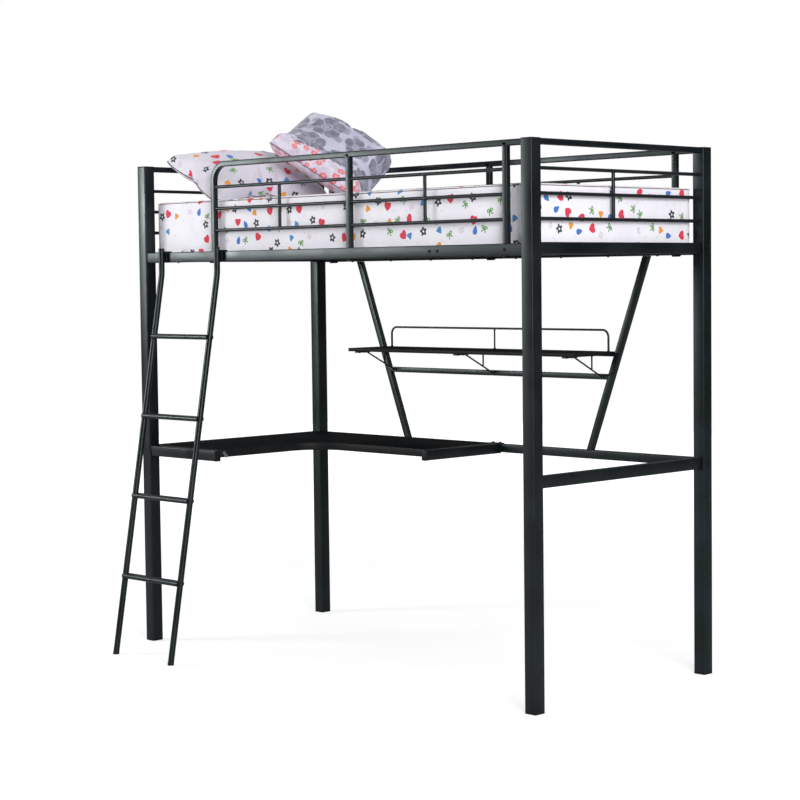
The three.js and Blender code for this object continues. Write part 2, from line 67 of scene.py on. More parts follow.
class Box:
    """A node's box: its low and high corners, its middle and its size."""

    def __init__(self, node):
        self.low, self.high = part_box(node)
        self.middle, self.size = (self.low + self.high) / 2, self.high - self.low


# Driving sizes that a node's box doesn't give
CENTRE_Y = Box("mattress").middle.y
POST_RADIUS = 4 * MM
RAIL_RADIUS = 3 * MM
SLAT_RADIUS = 2.5 * MM
CAP_PLATE = 4 * MM
FOOT_PLATE = 6 * MM
SPIGOT = 14 * MM
GUARD_TUBE = 20 * MM
GUARD_BEND = 62 * MM
BAR = 12 * MM
BAR_HEIGHTS = (1.708, 1.630, 1.551)
FRONT_LEGS = (-0.583, 0.1375, 0.858)
BACK_LEGS = (-0.868, 0.0, 0.868)
RAIL_JOINT = (0.545, 0.581, 0.875)
END_MULLION_Y = CENTRE_Y - 0.036
STRUT_WIDTH = 26.5 * MM
SHELF_BRACKETS = [f"shelf_bracket_{i + 1}" for i in range(3)]
BRACKET_TAB = 63 * MM
WIRE = 6 * MM
GALLERY_WIRE = 8 * MM
GALLERY_BEND = 26 * MM
BOARD_SOFTENING = 1.2 * MM
DESK_WING_X = -0.575
DESK_WING_Y = CENTRE_Y + 0.060
DESK_INNER_RADIUS = 0.130
DESK_CORNER_RADIUS = 14 * MM
STRINGER = 22 * MM
STRINGER_BEND_HEIGHT = 1.395
STRINGER_BEND = 0.220
STRINGER_SIDES = 28
LADDER_FOOT_HEIGHT = 9 * MM
HOOK_PLATE = 4 * MM
HOOK_WIDTH = 28 * MM
HOOK_LIP = 32 * MM
MATTRESS_CORNER = 12 * MM
MATTRESS_EDGE = 9 * MM
SHEET_PROUD = 4 * MM
UNDERLAP_STEP = 11 * MM
HEAD_SUNK = 0.1 * MM
QUILTING = 0.16
WEAVE = 1.1 * MM
SLATS = [f"slat_{i + 1}" for i in range(8)]
RUNGS = [f"ladder_rung_{i + 1}" for i in range(4)]
CORNERS = [f"{side}_{end}" for side in ("front", "back") for end in ("left", "right")]
ENDS = ("left", "right")


# Sections, as closed loops of (a, b) points that turn anticlockwise

def arc(centre, radius, start, end, steps):
    """Points on an arc, its angles in quarter turns."""
    turns = [(start + (end - start) * i / steps) * math.pi / 2 for i in range(steps + 1)]
    return [(centre[0] + radius * math.cos(t), centre[1] + radius * math.sin(t)) for t in turns]


def rounded(width, height, radius, steps=4):
    a, b = width / 2 - radius, height / 2 - radius
    corners = [(a, b), (-a, b), (-a, -b), (a, -b)]
    return [point for i, corner in enumerate(corners) for point in arc(corner, radius, i, i + 1, steps)]


def round_section(diameter, steps=20):
    return arc((0, 0), diameter / 2, 0, 4 - 4 / steps, steps - 1)


def turn_to(axis):
    """The turn that brings +Z to an axis."""
    return Z_AXIS.rotation_difference(Vector(axis).normalized()).to_matrix()


# Solids

class Solid:
    """Closed shells that become one object."""

    def __init__(self):
        self.points, self.faces = [], []

    def loop(self, points):
        first = len(self.points)
        self.points.extend(Vector(p) for p in points)
        return list(range(first, len(self.points)))

    def skin(self, loops):
        for low, high in zip(loops, loops[1:]):
            for i in range(len(low)):
                j = (i + 1) % len(low)
                self.faces.append((low[i], low[j], high[j], high[i]))

    def stack(self, loops):
        """A shell through loops from its back to its front, closed at both."""
        self.skin(loops)
        self.faces += [tuple(reversed(loops[0])), tuple(loops[-1])]

    def sweep(self, section, stations):
        """A section carried along stations, each an origin and the section's two directions."""
        self.stack([self.loop(at + a * side + b * up for a, b in section) for at, side, up in stations])

    def beam(self, section, start, end, up=Z_AXIS):
        start, end = Vector(start), Vector(end)
        along = (end - start).normalized()
        up = (up - along * along.dot(up)).normalized()
        side = up.cross(along)
        self.sweep(section, [(start, side, up), (end, side, up)])

    def rod(self, diameter, start, end, steps=20):
        along = Vector(end) - Vector(start)
        up = X_AXIS if abs(along.x) < abs(along.z) else Z_AXIS
        self.beam(round_section(diameter, steps), start, end, up)

    def bent(self, section, corners, radius, side, steps=10):
        """A section along straight stretches and round bends in one plane, whose normal is side."""
        corners = [Vector(c) for c in corners]
        tangents = [(b - a).normalized() for a, b in zip(corners, corners[1:])]
        path = [(corners[0], tangents[0])]
        for corner, before, after in zip(corners[1:], tangents, tangents[1:]):
            angle = before.angle(after)
            start = corner - before * radius * math.tan(angle / 2)
            inward = (after - before * after.dot(before)).normalized()
            for turn in (angle * k / steps for k in range(steps + 1)):
                at = start + before * radius * math.sin(turn) + inward * radius * (1 - math.cos(turn))
                path.append((at, before * math.cos(turn) + inward * math.sin(turn)))
        path.append((corners[-1], tangents[-1]))
        self.sweep(section, [(at, side, tangent.cross(side)) for at, tangent in path])

    def turned(self, profile, start, axis):
        """A profile of (radius, height) points turned about an axis."""
        turn, ring = turn_to(axis), round_section(2, STRINGER_SIDES)
        self.stack([
            self.loop(Vector(start) + turn @ Vector((a * r, b * r, z)) for a, b in ring)
            for r, z in profile
        ])

    def lumps(self, count, lump):
        """A closed ring of small lumps, each a middle, two directions and a size at an angle."""
        tube = [2 * math.pi * k / 6 for k in range(6)]
        loops = []
        for i in range(count):
            at, out, rise, size = lump(2 * math.pi * i / count)
            loops.append(self.loop(at + size * (math.cos(t) * out + math.sin(t) * rise) for t in tube))
        self.skin(loops + loops[:1])

    def bead(self, centre, axis, diameter, thickness=2.6 * MM, seed=0):
        """A weld bead round the foot of a bar."""
        rng = random.Random(seed)
        centre, turn = Vector(centre), turn_to(axis)

        def lump(angle):
            size = thickness * (0.42 + 0.1 * math.sin(angle * 9) + 0.06 * rng.random())
            out = turn @ Vector((math.cos(angle), math.sin(angle), 0))
            return centre + out * (diameter / 2 + thickness * 0.1), out, turn @ Z_AXIS, size

        self.lumps(28, lump)

    def finish(self, name, material, body, slot, replaces=(), smooth=32, bevel=0):
        mesh = bpy.data.meshes.new(name)
        mesh.from_pydata([tuple(p) for p in self.points], [], self.faces)
        shape = bmesh.new()
        shape.from_mesh(mesh)
        bmesh.ops.recalc_face_normals(shape, faces=shape.faces)
        if bevel > 0:
            edges = [e for e in shape.edges if len(e.link_faces) == 2]
            sharp = [e for e in edges if e.calc_face_angle() > math.radians(50)]
            bmesh.ops.bevel(shape, geom=sharp, offset=bevel, segments=2, profile=0.5, affect="EDGES")
        shape.to_mesh(mesh)
        shape.free()
        return place(name, mesh, material, body, slot, replaces, smooth)

    def finish_steel(self, node, ending, body="frame"):
        """A painted piece in the place of one node."""
        self.finish(node + ending, FRAME_PAINT, body, "frame_paint", [node])

    def finish_plastic(self, name, body="frame", replaces=(), bevel=0):
        self.finish(name, PLASTIC, body, "black_plastic", replaces, bevel=bevel)


def add_to_scene(name, data):
    made = bpy.data.objects.new(name, data)
    bpy.context.scene.collection.objects.link(made)
    return made


def place(name, mesh, material, body, slot, replaces=(), smooth=32):
    """Links a mesh as a piece that rides on a body."""
    for one in material if isinstance(material, list) else [material]:
        mesh.materials.append(one)
    mesh.polygons.foreach_set("use_smooth", [True] * len(mesh.polygons))
    mesh.set_sharp_from_angle(angle=math.radians(smooth))
    piece = add_to_scene(name, mesh)
    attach(piece, body)
    if replaces:
        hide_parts(*replaces)
    return piece


# Materials, built from shader nodes

def operation(kind):
    return lambda field, *others: field.graph.math(kind, field, *others)


class Field:
    """A value that varies over a surface, as the output of a shader node."""

    def __init__(self, graph, socket):
        self.graph, self.socket = graph, socket

    def __rsub__(self, other):
        return self.graph.math("SUBTRACT", other, self)

    __add__ = __radd__ = operation("ADD")
    __sub__ = operation("SUBTRACT")
    __mul__ = __rmul__ = __and__ = operation("MULTIPLY")
    __truediv__ = operation("DIVIDE")
    __or__ = operation("MAXIMUM")
    below, above = operation("LESS_THAN"), operation("GREATER_THAN")
    abs, root = operation("ABSOLUTE"), operation("SQRT")
    floor, fraction = operation("FLOOR"), operation("FRACT")
    sine, cosine = operation("SINE"), operation("COSINE")


class Graph:
    """The node tree of a material or world, with short names for what is added to it."""

    def __init__(self, owner):
        owner.use_nodes = True
        self.owner, self.tree = owner, owner.node_tree
        self.shader = next(n for n in self.tree.nodes if n.type in ("BSDF_PRINCIPLED", "BACKGROUND"))

    def node(self, kind, settings=None, **inputs):
        made = self.tree.nodes.new("ShaderNode" + kind)
        for key, value in (settings or {}).items():
            setattr(made, key, value)
        self.feed_named(made, inputs)
        return made

    def feed(self, socket, value):
        if isinstance(value, Field):
            self.tree.links.new(value.socket, socket)
        elif isinstance(value, bpy.types.NodeSocket):
            self.tree.links.new(value, socket)
        else:
            socket.default_value = value

    def feed_named(self, node, inputs):
        for key, value in inputs.items():
            self.feed(node.inputs[key.replace("_", " ")], value)

    def feed_in_order(self, sockets, values):
        for socket, value in zip(sockets, values):
            self.feed(socket, value)

    def set(self, **inputs):
        self.feed_named(self.shader, inputs)

    def math(self, kind, *values):
        made = self.node("Math", {"operation": kind})
        self.feed_in_order(made.inputs, values)
        return Field(self, made.outputs[0])

    def mix(self, factor, first, second):
        """A colour between two colours."""
        made = self.node("Mix", {"data_type": "RGBA"})
        self.feed_in_order((made.inputs[0], made.inputs[6], made.inputs[7]), (factor, first, second))
        return made.outputs[2]

    def ramp(self, value, low, high, out_low=0.0, out_high=1.0):
        made = self.node("MapRange", {"interpolation_type": "SMOOTHSTEP"})
        self.feed_in_order(made.inputs, (value, low, high, out_low, out_high))
        return Field(self, made.outputs[0])

    def tones(self, value, low, high, dark, light):
        """A colour that goes from one to another where a value goes from low to high."""
        return self.mix(self.ramp(value, low, high), dark, light)

    def object_place(self, scale=(1, 1, 1)):
        source = self.node("TexCoord").outputs["Object"]
        return self.node("Mapping", Vector=source, Scale=scale).outputs[0]

    def noise(self, scale, at=None, detail=3.0, roughness=0.55):
        at = at or self.object_place()
        made = self.node("TexNoise", Vector=at, Scale=scale, Detail=detail, Roughness=roughness)
        return Field(self, made.outputs[0])

    def bump(self, height, distance, strength, **under):
        return self.node("Bump", Height=height, Distance=distance, Strength=strength, **under).outputs[0]

    def coat(self, shade, gloss, matte, relief, distance, strength, **uniform):
        """Colours the surface, with a roughness and a fine relief that each follow a field."""
        self.set(Base_Color=shade, Roughness=self.ramp(gloss, 0.3, 0.7, *matte), **uniform)
        self.set(Normal=self.bump(relief, distance, strength))
        return self.owner


def new_material(name):
    return Graph(bpy.data.materials.new(name))


def colour(red, green, blue):
    """An sRGB colour, 0 to 255, as the linear one that shaders take."""
    shares = [c / 255 for c in (red, green, blue)]
    return (*(c / 12.92 if c <= 0.04045 else ((c + 0.055) / 1.055) ** 2.4 for c in shares), 1.0)


def powder_coat(name, base, light):
    """Satin powder coat: a fine orange peel, slightly cloudy colour and a softly varied gloss."""
    graph = new_material(name)
    cloud = graph.noise(5.0, detail=4.0)
    speck = graph.noise(900.0, detail=2.0)
    peel = graph.noise(315.0, detail=2.0)
    shade = graph.tones(cloud, 0.35, 0.7, base, light)
    shade = graph.mix(graph.ramp(speck, 0.62, 0.75, 0.0, 0.35), shade, light)
    graph.set(Specular_IOR_Level=0.32, Specular_Tint=(0.82, 0.98, 1.0, 1.0))
    return graph.coat(shade, cloud, (0.3, 0.41), peel, 0.00012, 0.6)


def laminate(name, base, light):
    """Near-black melamine with a short pressed grain along X."""
    graph = new_material(name)
    grain = graph.noise(1.0, graph.object_place((14.0, 260.0, 260.0)), detail=5.0, roughness=0.7)
    shade = graph.tones(grain, 0.42, 0.68, base, light)
    return graph.coat(shade, graph.noise(6.0), (0.5, 0.62), grain, 0.00025, 0.7, Specular_IOR_Level=0.01)


def moulded_plastic(name, base, light):
    graph = new_material(name)
    spark = graph.noise(1400.0, detail=1.0)
    shade = graph.tones(graph.noise(30.0), 0.4, 0.7, base, light)
    return graph.coat(shade, spark, (0.5, 0.62), spark, 0.00008, 0.5, Specular_IOR_Level=0.2)


def zinc(name, base, light):
    """Bright zinc plate with fine draw lines."""
    graph = new_material(name)
    lines = graph.noise(1.0, graph.object_place((2600.0, 120.0, 120.0)), detail=2.0)
    shade = graph.tones(graph.noise(60.0), 0.35, 0.7, base, light)
    return graph.coat(shade, lines, (0.3, 0.46), lines, 0.00005, 0.4, Metallic=0.85)


FRAME_PAINT = powder_coat("frame_paint", colour(13, 16, 18), colour(22, 26, 29))
WIRE_PAINT = powder_coat("wire_paint", colour(14, 16, 18), colour(22, 25, 27))
BOARD = laminate("board_laminate", colour(11, 12, 14), colour(22, 24, 28))
BOARD_EDGE = moulded_plastic("board_edge_band", colour(15, 16, 18), colour(20, 22, 24))
PLASTIC = moulded_plastic("black_plastic", colour(17, 18, 20), colour(24, 26, 28))
ZINC = zinc("zinc_steel", colour(140, 141, 143), colour(165, 166, 168))


# Straight tubes, one for one with their nodes

def straight_tube(node, radius):
    """A tube as long as its node's box, along the box's longest side."""
    box = Box(node)
    axis = max(range(3), key=lambda i: box.size[i])
    up = Y_AXIS if axis == 2 else Z_AXIS
    start, end = box.middle.copy(), box.middle.copy()
    start[axis], end[axis] = box.low[axis], box.high[axis]
    side = up.cross((end - start).normalized())
    solid = Solid()
    solid.beam(rounded(abs(box.size.dot(side)), abs(box.size.dot(up)), radius), start, end, up)
    solid.finish_steel(node, "_tube")


for corner_name in CORNERS:
    straight_tube("post_" + corner_name, POST_RADIUS)
for end_name in ENDS:
    for kind_name in ("end_rail_", "lower_end_rail_", "end_top_rail_"):
        straight_tube(kind_name + end_name, RAIL_RADIUS)
for rail in ("side_rail_front", "side_rail_back", "lower_back_beam", "desk_arm_front", "desk_arm_right"):
    straight_tube(rail, RAIL_RADIUS)
for slat in SLATS:
    straight_tube(slat, SLAT_RADIUS)


# Post caps and feet

def post_plate(node, end, thickness):
    """The visible plate of a cap or foot, with a softened edge and a short spigot."""
    box = Box(node)
    x, y, width = box.middle.x, box.middle.y, box.size.x
    outer = box.high.z if end > 0 else box.low.z
    inner = outer - end * thickness
    edge = ((inner, 0), (outer - end * 1.2 * MM, 0), (outer - end * 0.4 * MM, 0.4 * MM), (outer, 1.4 * MM))
    solid = Solid()
    loops = []
    for z, shrink in edge:
        section = rounded(width - 2 * shrink, width - 2 * shrink, POST_RADIUS)
        loops.append(solid.loop((x + a, y + b, z) for a, b in section))
    solid.stack(loops)
    root = Vector((x, y, inner + end * 0.5 * MM))
    spigot = rounded(width - 4 * MM, width - 4 * MM, 2.5 * MM)
    solid.beam(spigot, root, root - Z_AXIS * end * SPIGOT, Y_AXIS)
    solid.finish_plastic(node + "_plug", replaces=[node])


for corner_name in CORNERS:
    post_plate("post_cap_" + corner_name, 1, CAP_PLATE)
    post_plate("post_foot_" + corner_name, -1, FOOT_PLATE)


# Guards

def add_bars(solid, start, end, uprights, weld_at):
    """Thin level bars between two places, short uprights between them, and beads at every weld."""
    start, end = Vector(start), Vector(end)
    along = (end - start).normalized()
    highest, between, lowest = BAR_HEIGHTS
    for z in BAR_HEIGHTS:
        solid.rod(BAR, start + Z_AXIS * z, end + Z_AXIS * z)
        for i, at in enumerate(weld_at):
            solid.bead(Vector(at) + Z_AXIS * z, along, BAR, seed=i + int(z * 1000))
    for k, at in enumerate(uprights):
        at = Vector(at)
        solid.rod(BAR, at + Z_AXIS * lowest, at + Z_AXIS * highest)
        for z, side in ((highest, -1), (between, 1), (between, -1), (lowest, 1)):
            weld = at + Z_AXIS * (z + side * BAR * 0.46)
            solid.bead(weld, Z_AXIS, BAR, 2.2 * MM, seed=k + int(z * 900))


def guard(node, legs, bend_first_leg):
    """A bent or straight top tube on its legs, with thin bars that meet the legs' sides."""
    box = Box(node)
    y, half = box.middle.y, GUARD_TUBE / 2
    bottom, top = box.low.z, box.high.z - half
    section = rounded(GUARD_TUBE, GUARD_TUBE, RAIL_RADIUS)
    solid = Solid()
    upright_legs = list(legs)
    if bend_first_leg:
        first = upright_legs.pop(0)
        route = [(first, y, bottom), (first, y, top), (box.high.x, y, top)]
        solid.bent(section, route, GUARD_BEND, Y_AXIS, 14)
    else:
        solid.beam(section, (box.low.x, y, top), (box.high.x, y, top))
    for x in upright_legs:
        solid.beam(section, (x, y, bottom), (x, y, top), Y_AXIS)
        solid.bead((x, y, top - half), Z_AXIS, GUARD_TUBE * 1.05, seed=int(x * 1000))
    faces = [legs[0] + half, *(x + s * half for x in legs[1:-1] for s in (-1, 1)), legs[-1] - half]
    middles = [(a + b) / 2 for a, b in zip(legs, legs[1:])]
    ends = (legs[0], y, 0), (legs[-1], y, 0)
    add_bars(solid, *ends, [(x, y, 0) for x in middles], [(x, y, 0) for x in faces])
    solid.finish_steel(node, "_welded")


def end_bars(node):
    box = Box(node)
    x = box.middle.x
    solid = Solid()
    ends = [(x, box.low.y, 0), (x, box.high.y, 0)]
    add_bars(solid, *ends, [(x, END_MULLION_Y, 0)], ends)
    solid.finish_steel(node, "_welded")


guard("guard_rail_front", FRONT_LEGS, bend_first_leg=True)
guard("guard_rail_back", BACK_LEGS, bend_first_leg=False)
end_bars("end_guard_bars_left")
end_bars("end_guard_bars_right")


# Struts, shelf and gallery

def struts():
    for end, sign in zip(ENDS, (-1, 1)):
        node = "strut_" + end
        box = Box(node)
        slant = sign * (box.size.x - STRUT_WIDTH) / 2
        foot, top = (
            Vector((box.middle.x + way * slant, box.middle.y, z))
            for way, z in ((-1, box.low.z), (1, box.high.z))
        )
        solid = Solid()
        section = rounded(STRUT_WIDTH, box.size.y, RAIL_RADIUS)
        solid.sweep(section, [(foot, X_AXIS, Y_AXIS), (top, X_AXIS, Y_AXIS)])
        solid.finish_steel(node, "_tube")


def cross_tubes():
    """The shelf's bar and back rail, cut on a slant to fit between the struts."""
    strut = Box("strut_right").size
    slope = (strut.x - STRUT_WIDTH) / strut.z
    for node in ("shelf_bar", "shelf_back_rail"):
        box = Box(node)
        section = [(-a, b) for a, b in reversed(rounded(box.size.y, box.size.z, SLAT_RADIUS))]
        reach = box.high.x - slope * box.size.z / 2
        solid = Solid()
        solid.sweep(section, [
            (Vector((sign * reach, *box.middle.yz)), Y_AXIS, Vector((sign * slope, 0, 1)))
            for sign in (-1, 1)
        ])
        solid.finish_steel(node, "_tube")


def board(name, node, outline):
    """A laminated board: pressed faces, and an edge band with softened corners round its rim."""
    low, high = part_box(node)
    solid = Solid()

    def inset(distance):
        points = []
        for i, point in enumerate(outline):
            before, after = Vector(outline[i - 1]), Vector(outline[(i + 1) % len(outline)])
            here = Vector(point)
            one, two = (here - before).normalized(), (after - here).normalized()
            normal = Vector((-(one.y + two.y), one.x + two.x)).normalized()
            stretch = 1 / max(0.5, normal.dot(Vector((-one.y, one.x))))
            points.append(here + normal * distance * stretch)
        return points

    edge = [(BOARD_SOFTENING * up, BOARD_SOFTENING * inward) for up, inward in ((0, 1), (0.3, 0.3), (1, 0))]
    rim = [(low.z + up, inward) for up, inward in edge]
    rim += [(high.z - up, inward) for up, inward in reversed(edge)]
    solid.stack([solid.loop((p.x, p.y, z) for p in inset(inward)) for z, inward in rim])
    band = len(solid.faces) - 2
    piece = solid.finish(name, [BOARD, BOARD_EDGE], "frame", "board_laminate", [node], smooth=50)
    for face in piece.data.polygons:
        face.material_index = 1 if face.index < band else 0


def shelf_board():
    box = Box("shelf_board")
    outline = rounded(box.size.x, box.size.y, 5 * MM, 5)
    board("shelf_board_panel", "shelf_board", [(box.middle.x + a, box.middle.y + b) for a, b in outline])


def desk_board():
    low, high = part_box("desk_top")
    inner = (DESK_WING_X + DESK_INNER_RADIUS, DESK_WING_Y - DESK_INNER_RADIUS)
    corner = (DESK_WING_X - DESK_CORNER_RADIUS, low.y + DESK_CORNER_RADIUS)
    outline = [(low.x, low.y)]
    outline += arc(corner, DESK_CORNER_RADIUS, -1, 0, 5)
    outline += arc(inner, DESK_INNER_RADIUS, 2, 1, 20)
    outline += [(high.x, DESK_WING_Y), (high.x, high.y), (low.x, high.y)]
    board("desk_board_panel", "desk_top", outline)


def shelf_brackets():
    """A flat strap under the board with a wider tab in front, braced to the bar by two wires."""
    bar_z = Box("shelf_bar").middle.z
    tab = rounded(20 * MM, 5 * MM, 1.6 * MM, 3)
    strap = rounded(14 * MM, 2.5 * MM, 1.0 * MM, 3)
    foot = rounded(18 * MM, 18 * MM, 3 * MM, 4)
    for node in SHELF_BRACKETS:
        box = Box(node)
        x, front, back, top = box.middle.x, box.low.y, box.high.y, box.high.z
        tab_back, brace_y, tab_z = front + BRACKET_TAB, back - 54 * MM, top - 4 * MM
        brace_z = tab_z + (bar_z - tab_z) * (brace_y - tab_back) / (back - tab_back)
        solid = Solid()
        solid.beam(tab, (x, front, top - 2.5 * MM), (x, tab_back, top - 2.5 * MM))
        solid.beam(strap, (x, tab_back - 4 * MM, top - 1.25 * MM), (x, back, top - 1.25 * MM))
        solid.beam(foot, (x, back - 2.5 * MM, bar_z), (x, back, bar_z))
        wire_start = Vector((x, tab_back - 6 * MM, tab_z + 0.5 * MM))
        wire_end = Vector((x, back - 1 * MM, bar_z))
        solid.rod(WIRE, wire_start, wire_end, 14)
        solid.rod(WIRE, (x, brace_y, brace_z), (x, brace_y, top - 0.8 * MM), 14)
        along = wire_end - wire_start
        solid.bead(wire_end - along.normalized() * 3 * MM, along, WIRE, 2 * MM, seed=1)
        solid.bead((x, brace_y, top - 3 * MM), Z_AXIS, WIRE, 2 * MM, seed=2)
        solid.finish(node + "_wire", WIRE_PAINT, "frame", "wire_paint", [node])


def gallery():
    box = Box("shelf_gallery_rail")
    y, low_z, half = box.middle.y, box.low.z, GALLERY_WIRE / 2
    top, reach = box.high.z - half, box.high.x - half
    solid = Solid()
    route = [(-reach, y, low_z), (-reach, y, top), (reach, y, top), (reach, y, low_z)]
    solid.bent(round_section(GALLERY_WIRE, 18), route, GALLERY_BEND, Y_AXIS, 10)
    solid.rod(WIRE, (0, y, low_z), (0, y, top), 14)
    solid.bead((0, y, top - half), Z_AXIS, WIRE, 2 * MM)
    for x in (-reach, 0, reach):
        solid.bead((x, y, low_z + 1.2 * MM), Z_AXIS, GALLERY_WIRE, 2.4 * MM, seed=int(x * 100))
    solid.finish("shelf_gallery_wire", WIRE_PAINT, "frame", "wire_paint", ["shelf_gallery_rail"])


struts()
cross_tubes()
shelf_board()
desk_board()
shelf_brackets()
gallery()


# Ladder

def ladder():
    """Stringers that slope along the rungs' middles, then stand upright; their ends, hooks and rungs."""
    highest, lowest = Box(RUNGS[0]).middle, Box(RUNGS[-1]).middle
    slope = (highest.y - lowest.y) / (highest.z - lowest.z)
    foot_y = lowest.y - slope * lowest.z + slope * LADDER_FOOT_HEIGHT
    for side in ENDS:
        node = "ladder_stringer_" + side
        box = Box(node)
        x, back_y, top = box.middle.x, box.high.y - STRINGER / 2, box.high.z
        foot = Vector((x, foot_y, LADDER_FOOT_HEIGHT))
        solid = Solid()
        route = [foot, (x, back_y, STRINGER_BEND_HEIGHT), (x, back_y, top)]
        solid.bent(round_section(STRINGER, STRINGER_SIDES), route, STRINGER_BEND, X_AXIS, 14)
        solid.finish_steel(node, "_tube", "ladder")
        ladder_plug(side, (x, back_y, top + 0.2 * MM))
        ladder_foot(side, foot, Vector((0, slope, 1)).normalized())
        ladder_hook("ladder_hook_" + side)
    for i, node in enumerate(RUNGS):
        rung(node, i)


def ladder_plug(side, at):
    """A domed plug in a stringer's top."""
    r = STRINGER / 2
    profile = [(r * 0.8, -8 * MM), (r * 0.84, 0), (r, 0), (r, 1.05 * MM)]
    profile += [(r * 0.93, 2.1 * MM), (r * 0.7, 2.76 * MM), (r * 0.35, 3 * MM)]
    solid = Solid()
    solid.turned(profile, at, Z_AXIS)
    solid.finish_plastic("ladder_top_plug_" + side, "ladder")


def ladder_foot(side, foot, lean):
    """A sleeve in the stringer's end, cut off level with the floor."""
    r = STRINGER / 2
    profile = [(r * 0.98, -30 * MM), (r * 1.04, -10 * MM), (r * 1.04, -1.2 * MM), (r * 0.99, -0.3 * MM)]
    profile += [(r * 0.84, -0.2 * MM), (r * 0.84, 14 * MM), (r * 0.7, 16 * MM)]
    solid = Solid()
    solid.turned(profile, foot, lean)
    for point in solid.points:
        if point.z < 0:
            point -= lean * (point.z / lean.z)
    solid.finish_plastic(f"ladder_foot_{side}_plug", "ladder", ["ladder_foot_" + side])


def ladder_hook(node):
    """A plate bent over the front rail."""
    box = Box(node)
    x, half = box.middle.x, HOOK_PLATE / 2
    front, back, top = box.low.y + half, box.high.y - half, box.high.z - half
    lip = Box("side_rail_front").high.z - HOOK_LIP
    route = [(x, front, box.low.z), (x, front, top), (x, back, top), (x, back, lip)]
    solid = Solid()
    solid.bent(rounded(HOOK_WIDTH, HOOK_PLATE, 1 * MM, 3), route, half + 0.6 * MM, X_AXIS, 6)
    solid.finish_steel(node, "_plate", "ladder")


def rung(node, number):
    """A flat oval tube between the stringers' middles, with a bead at each."""
    box = Box(node)
    depth, height = box.size.y, box.size.z
    left, right = (Vector((Box("ladder_stringer_" + end).middle.x, *box.middle.yz)) for end in ENDS)
    solid = Solid()
    solid.beam(rounded(depth, height, height / 2 - 0.4 * MM, 8), left, right)
    for k, (at, sign) in enumerate(((left, 1), (right, -1))):
        weld_oval(solid, at, sign, depth * 0.55, height, k + number)
    solid.finish_steel(node, "_tube", "ladder")


def weld_oval(solid, centre, sign, depth, height, seed):
    """The bead where a flat oval rung meets a round stringer: it wraps back round the tube."""
    rng = random.Random(seed)

    def lump(angle):
        out = Vector((0, math.cos(angle), math.sin(angle)))
        at = Vector((0, out.y * depth / 2, out.z * height / 2))
        at.x = sign * math.sqrt(max(0.0, (STRINGER / 2) ** 2 - at.y ** 2))
        size = (1.2 + 0.3 * math.sin(angle * 11) + 0.2 * rng.random()) * MM
        return centre + at, out, X_AXIS, size

    solid.lumps(30, lump)


ladder()


# Bolts, plugs and other small hardware

def bolts(name, heads, material=PLASTIC, slot="black_plastic"):
    """Domed heads with hex sockets as one piece: each a place, an axis, a diameter and a height."""
    steps, sixth = 24, math.pi / 3
    hexagon = [
        math.cos(sixth / 2) / math.cos((2 * math.pi * i / steps) % sixth - sixth / 2)
        for i in range(steps)
    ]
    circle = [1.0] * steps
    dome = [(1.0, 0.0), (1.0, 0.25), (0.94, 0.5), (0.78, 0.8), (0.6, 0.96), (0.48, 1.0)]
    socket = [(0.36, 0.97), (0.34, 0.35)]
    profile = [(circle, *step) for step in dome] + [(hexagon, *step) for step in socket]
    solid = Solid()
    for at, axis, diameter, height in heads:
        turn, ring = turn_to(axis), round_section(diameter, steps)
        solid.stack([
            solid.loop(
                Vector(at) + turn @ Vector((a * share * edge, b * share * edge, lift * height))
                for (a, b), edge in zip(ring, outline)
            )
            for outline, share, lift in profile
        ])
    solid.finish(name, material, "frame", slot)


def post_bolts():
    """Pairs of bolts through the posts into the side rails and the lower back beam."""
    face = Box("post_back_right").high.x - HEAD_SUNK
    spreads = {"side_rail_front": (10, -11), "side_rail_back": (10, -11), "lower_back_beam": (8, -8)}
    for node, spread in spreads.items():
        y, z = Box(node).middle.yz
        bolts(node + "_bolts", [
            ((sign * face, y, z + lift * MM), (sign, 0, 0), 10 * MM, 3.4 * MM)
            for sign in (-1, 1) for lift in spread
        ])


def rail_bolts():
    """A bolt up into each guard leg, bolts where a side rail is joined, and screws into the slats."""
    screws = []
    for side, legs, sign in (("front", FRONT_LEGS, 1), ("back", BACK_LEGS, -1)):
        rail_box = Box("side_rail_" + side)
        y, z = rail_box.middle.yz
        face, under = y - sign * (rail_box.size.y / 2 - HEAD_SUNK), rail_box.low.z + HEAD_SUNK
        heads = [((x, y, under), -Z_AXIS, 12 * MM, 4.5 * MM) for x in legs]
        heads += [((sign * x, face, z), (0, -sign, 0), 10 * MM, 3.2 * MM) for x in RAIL_JOINT]
        bolts("guard_bolts_" + side, heads)
        screws += [((Box(node).middle.x, y, under), -Z_AXIS, 9 * MM, 2.6 * MM) for node in SLATS]
    bolts("slat_screws", screws)


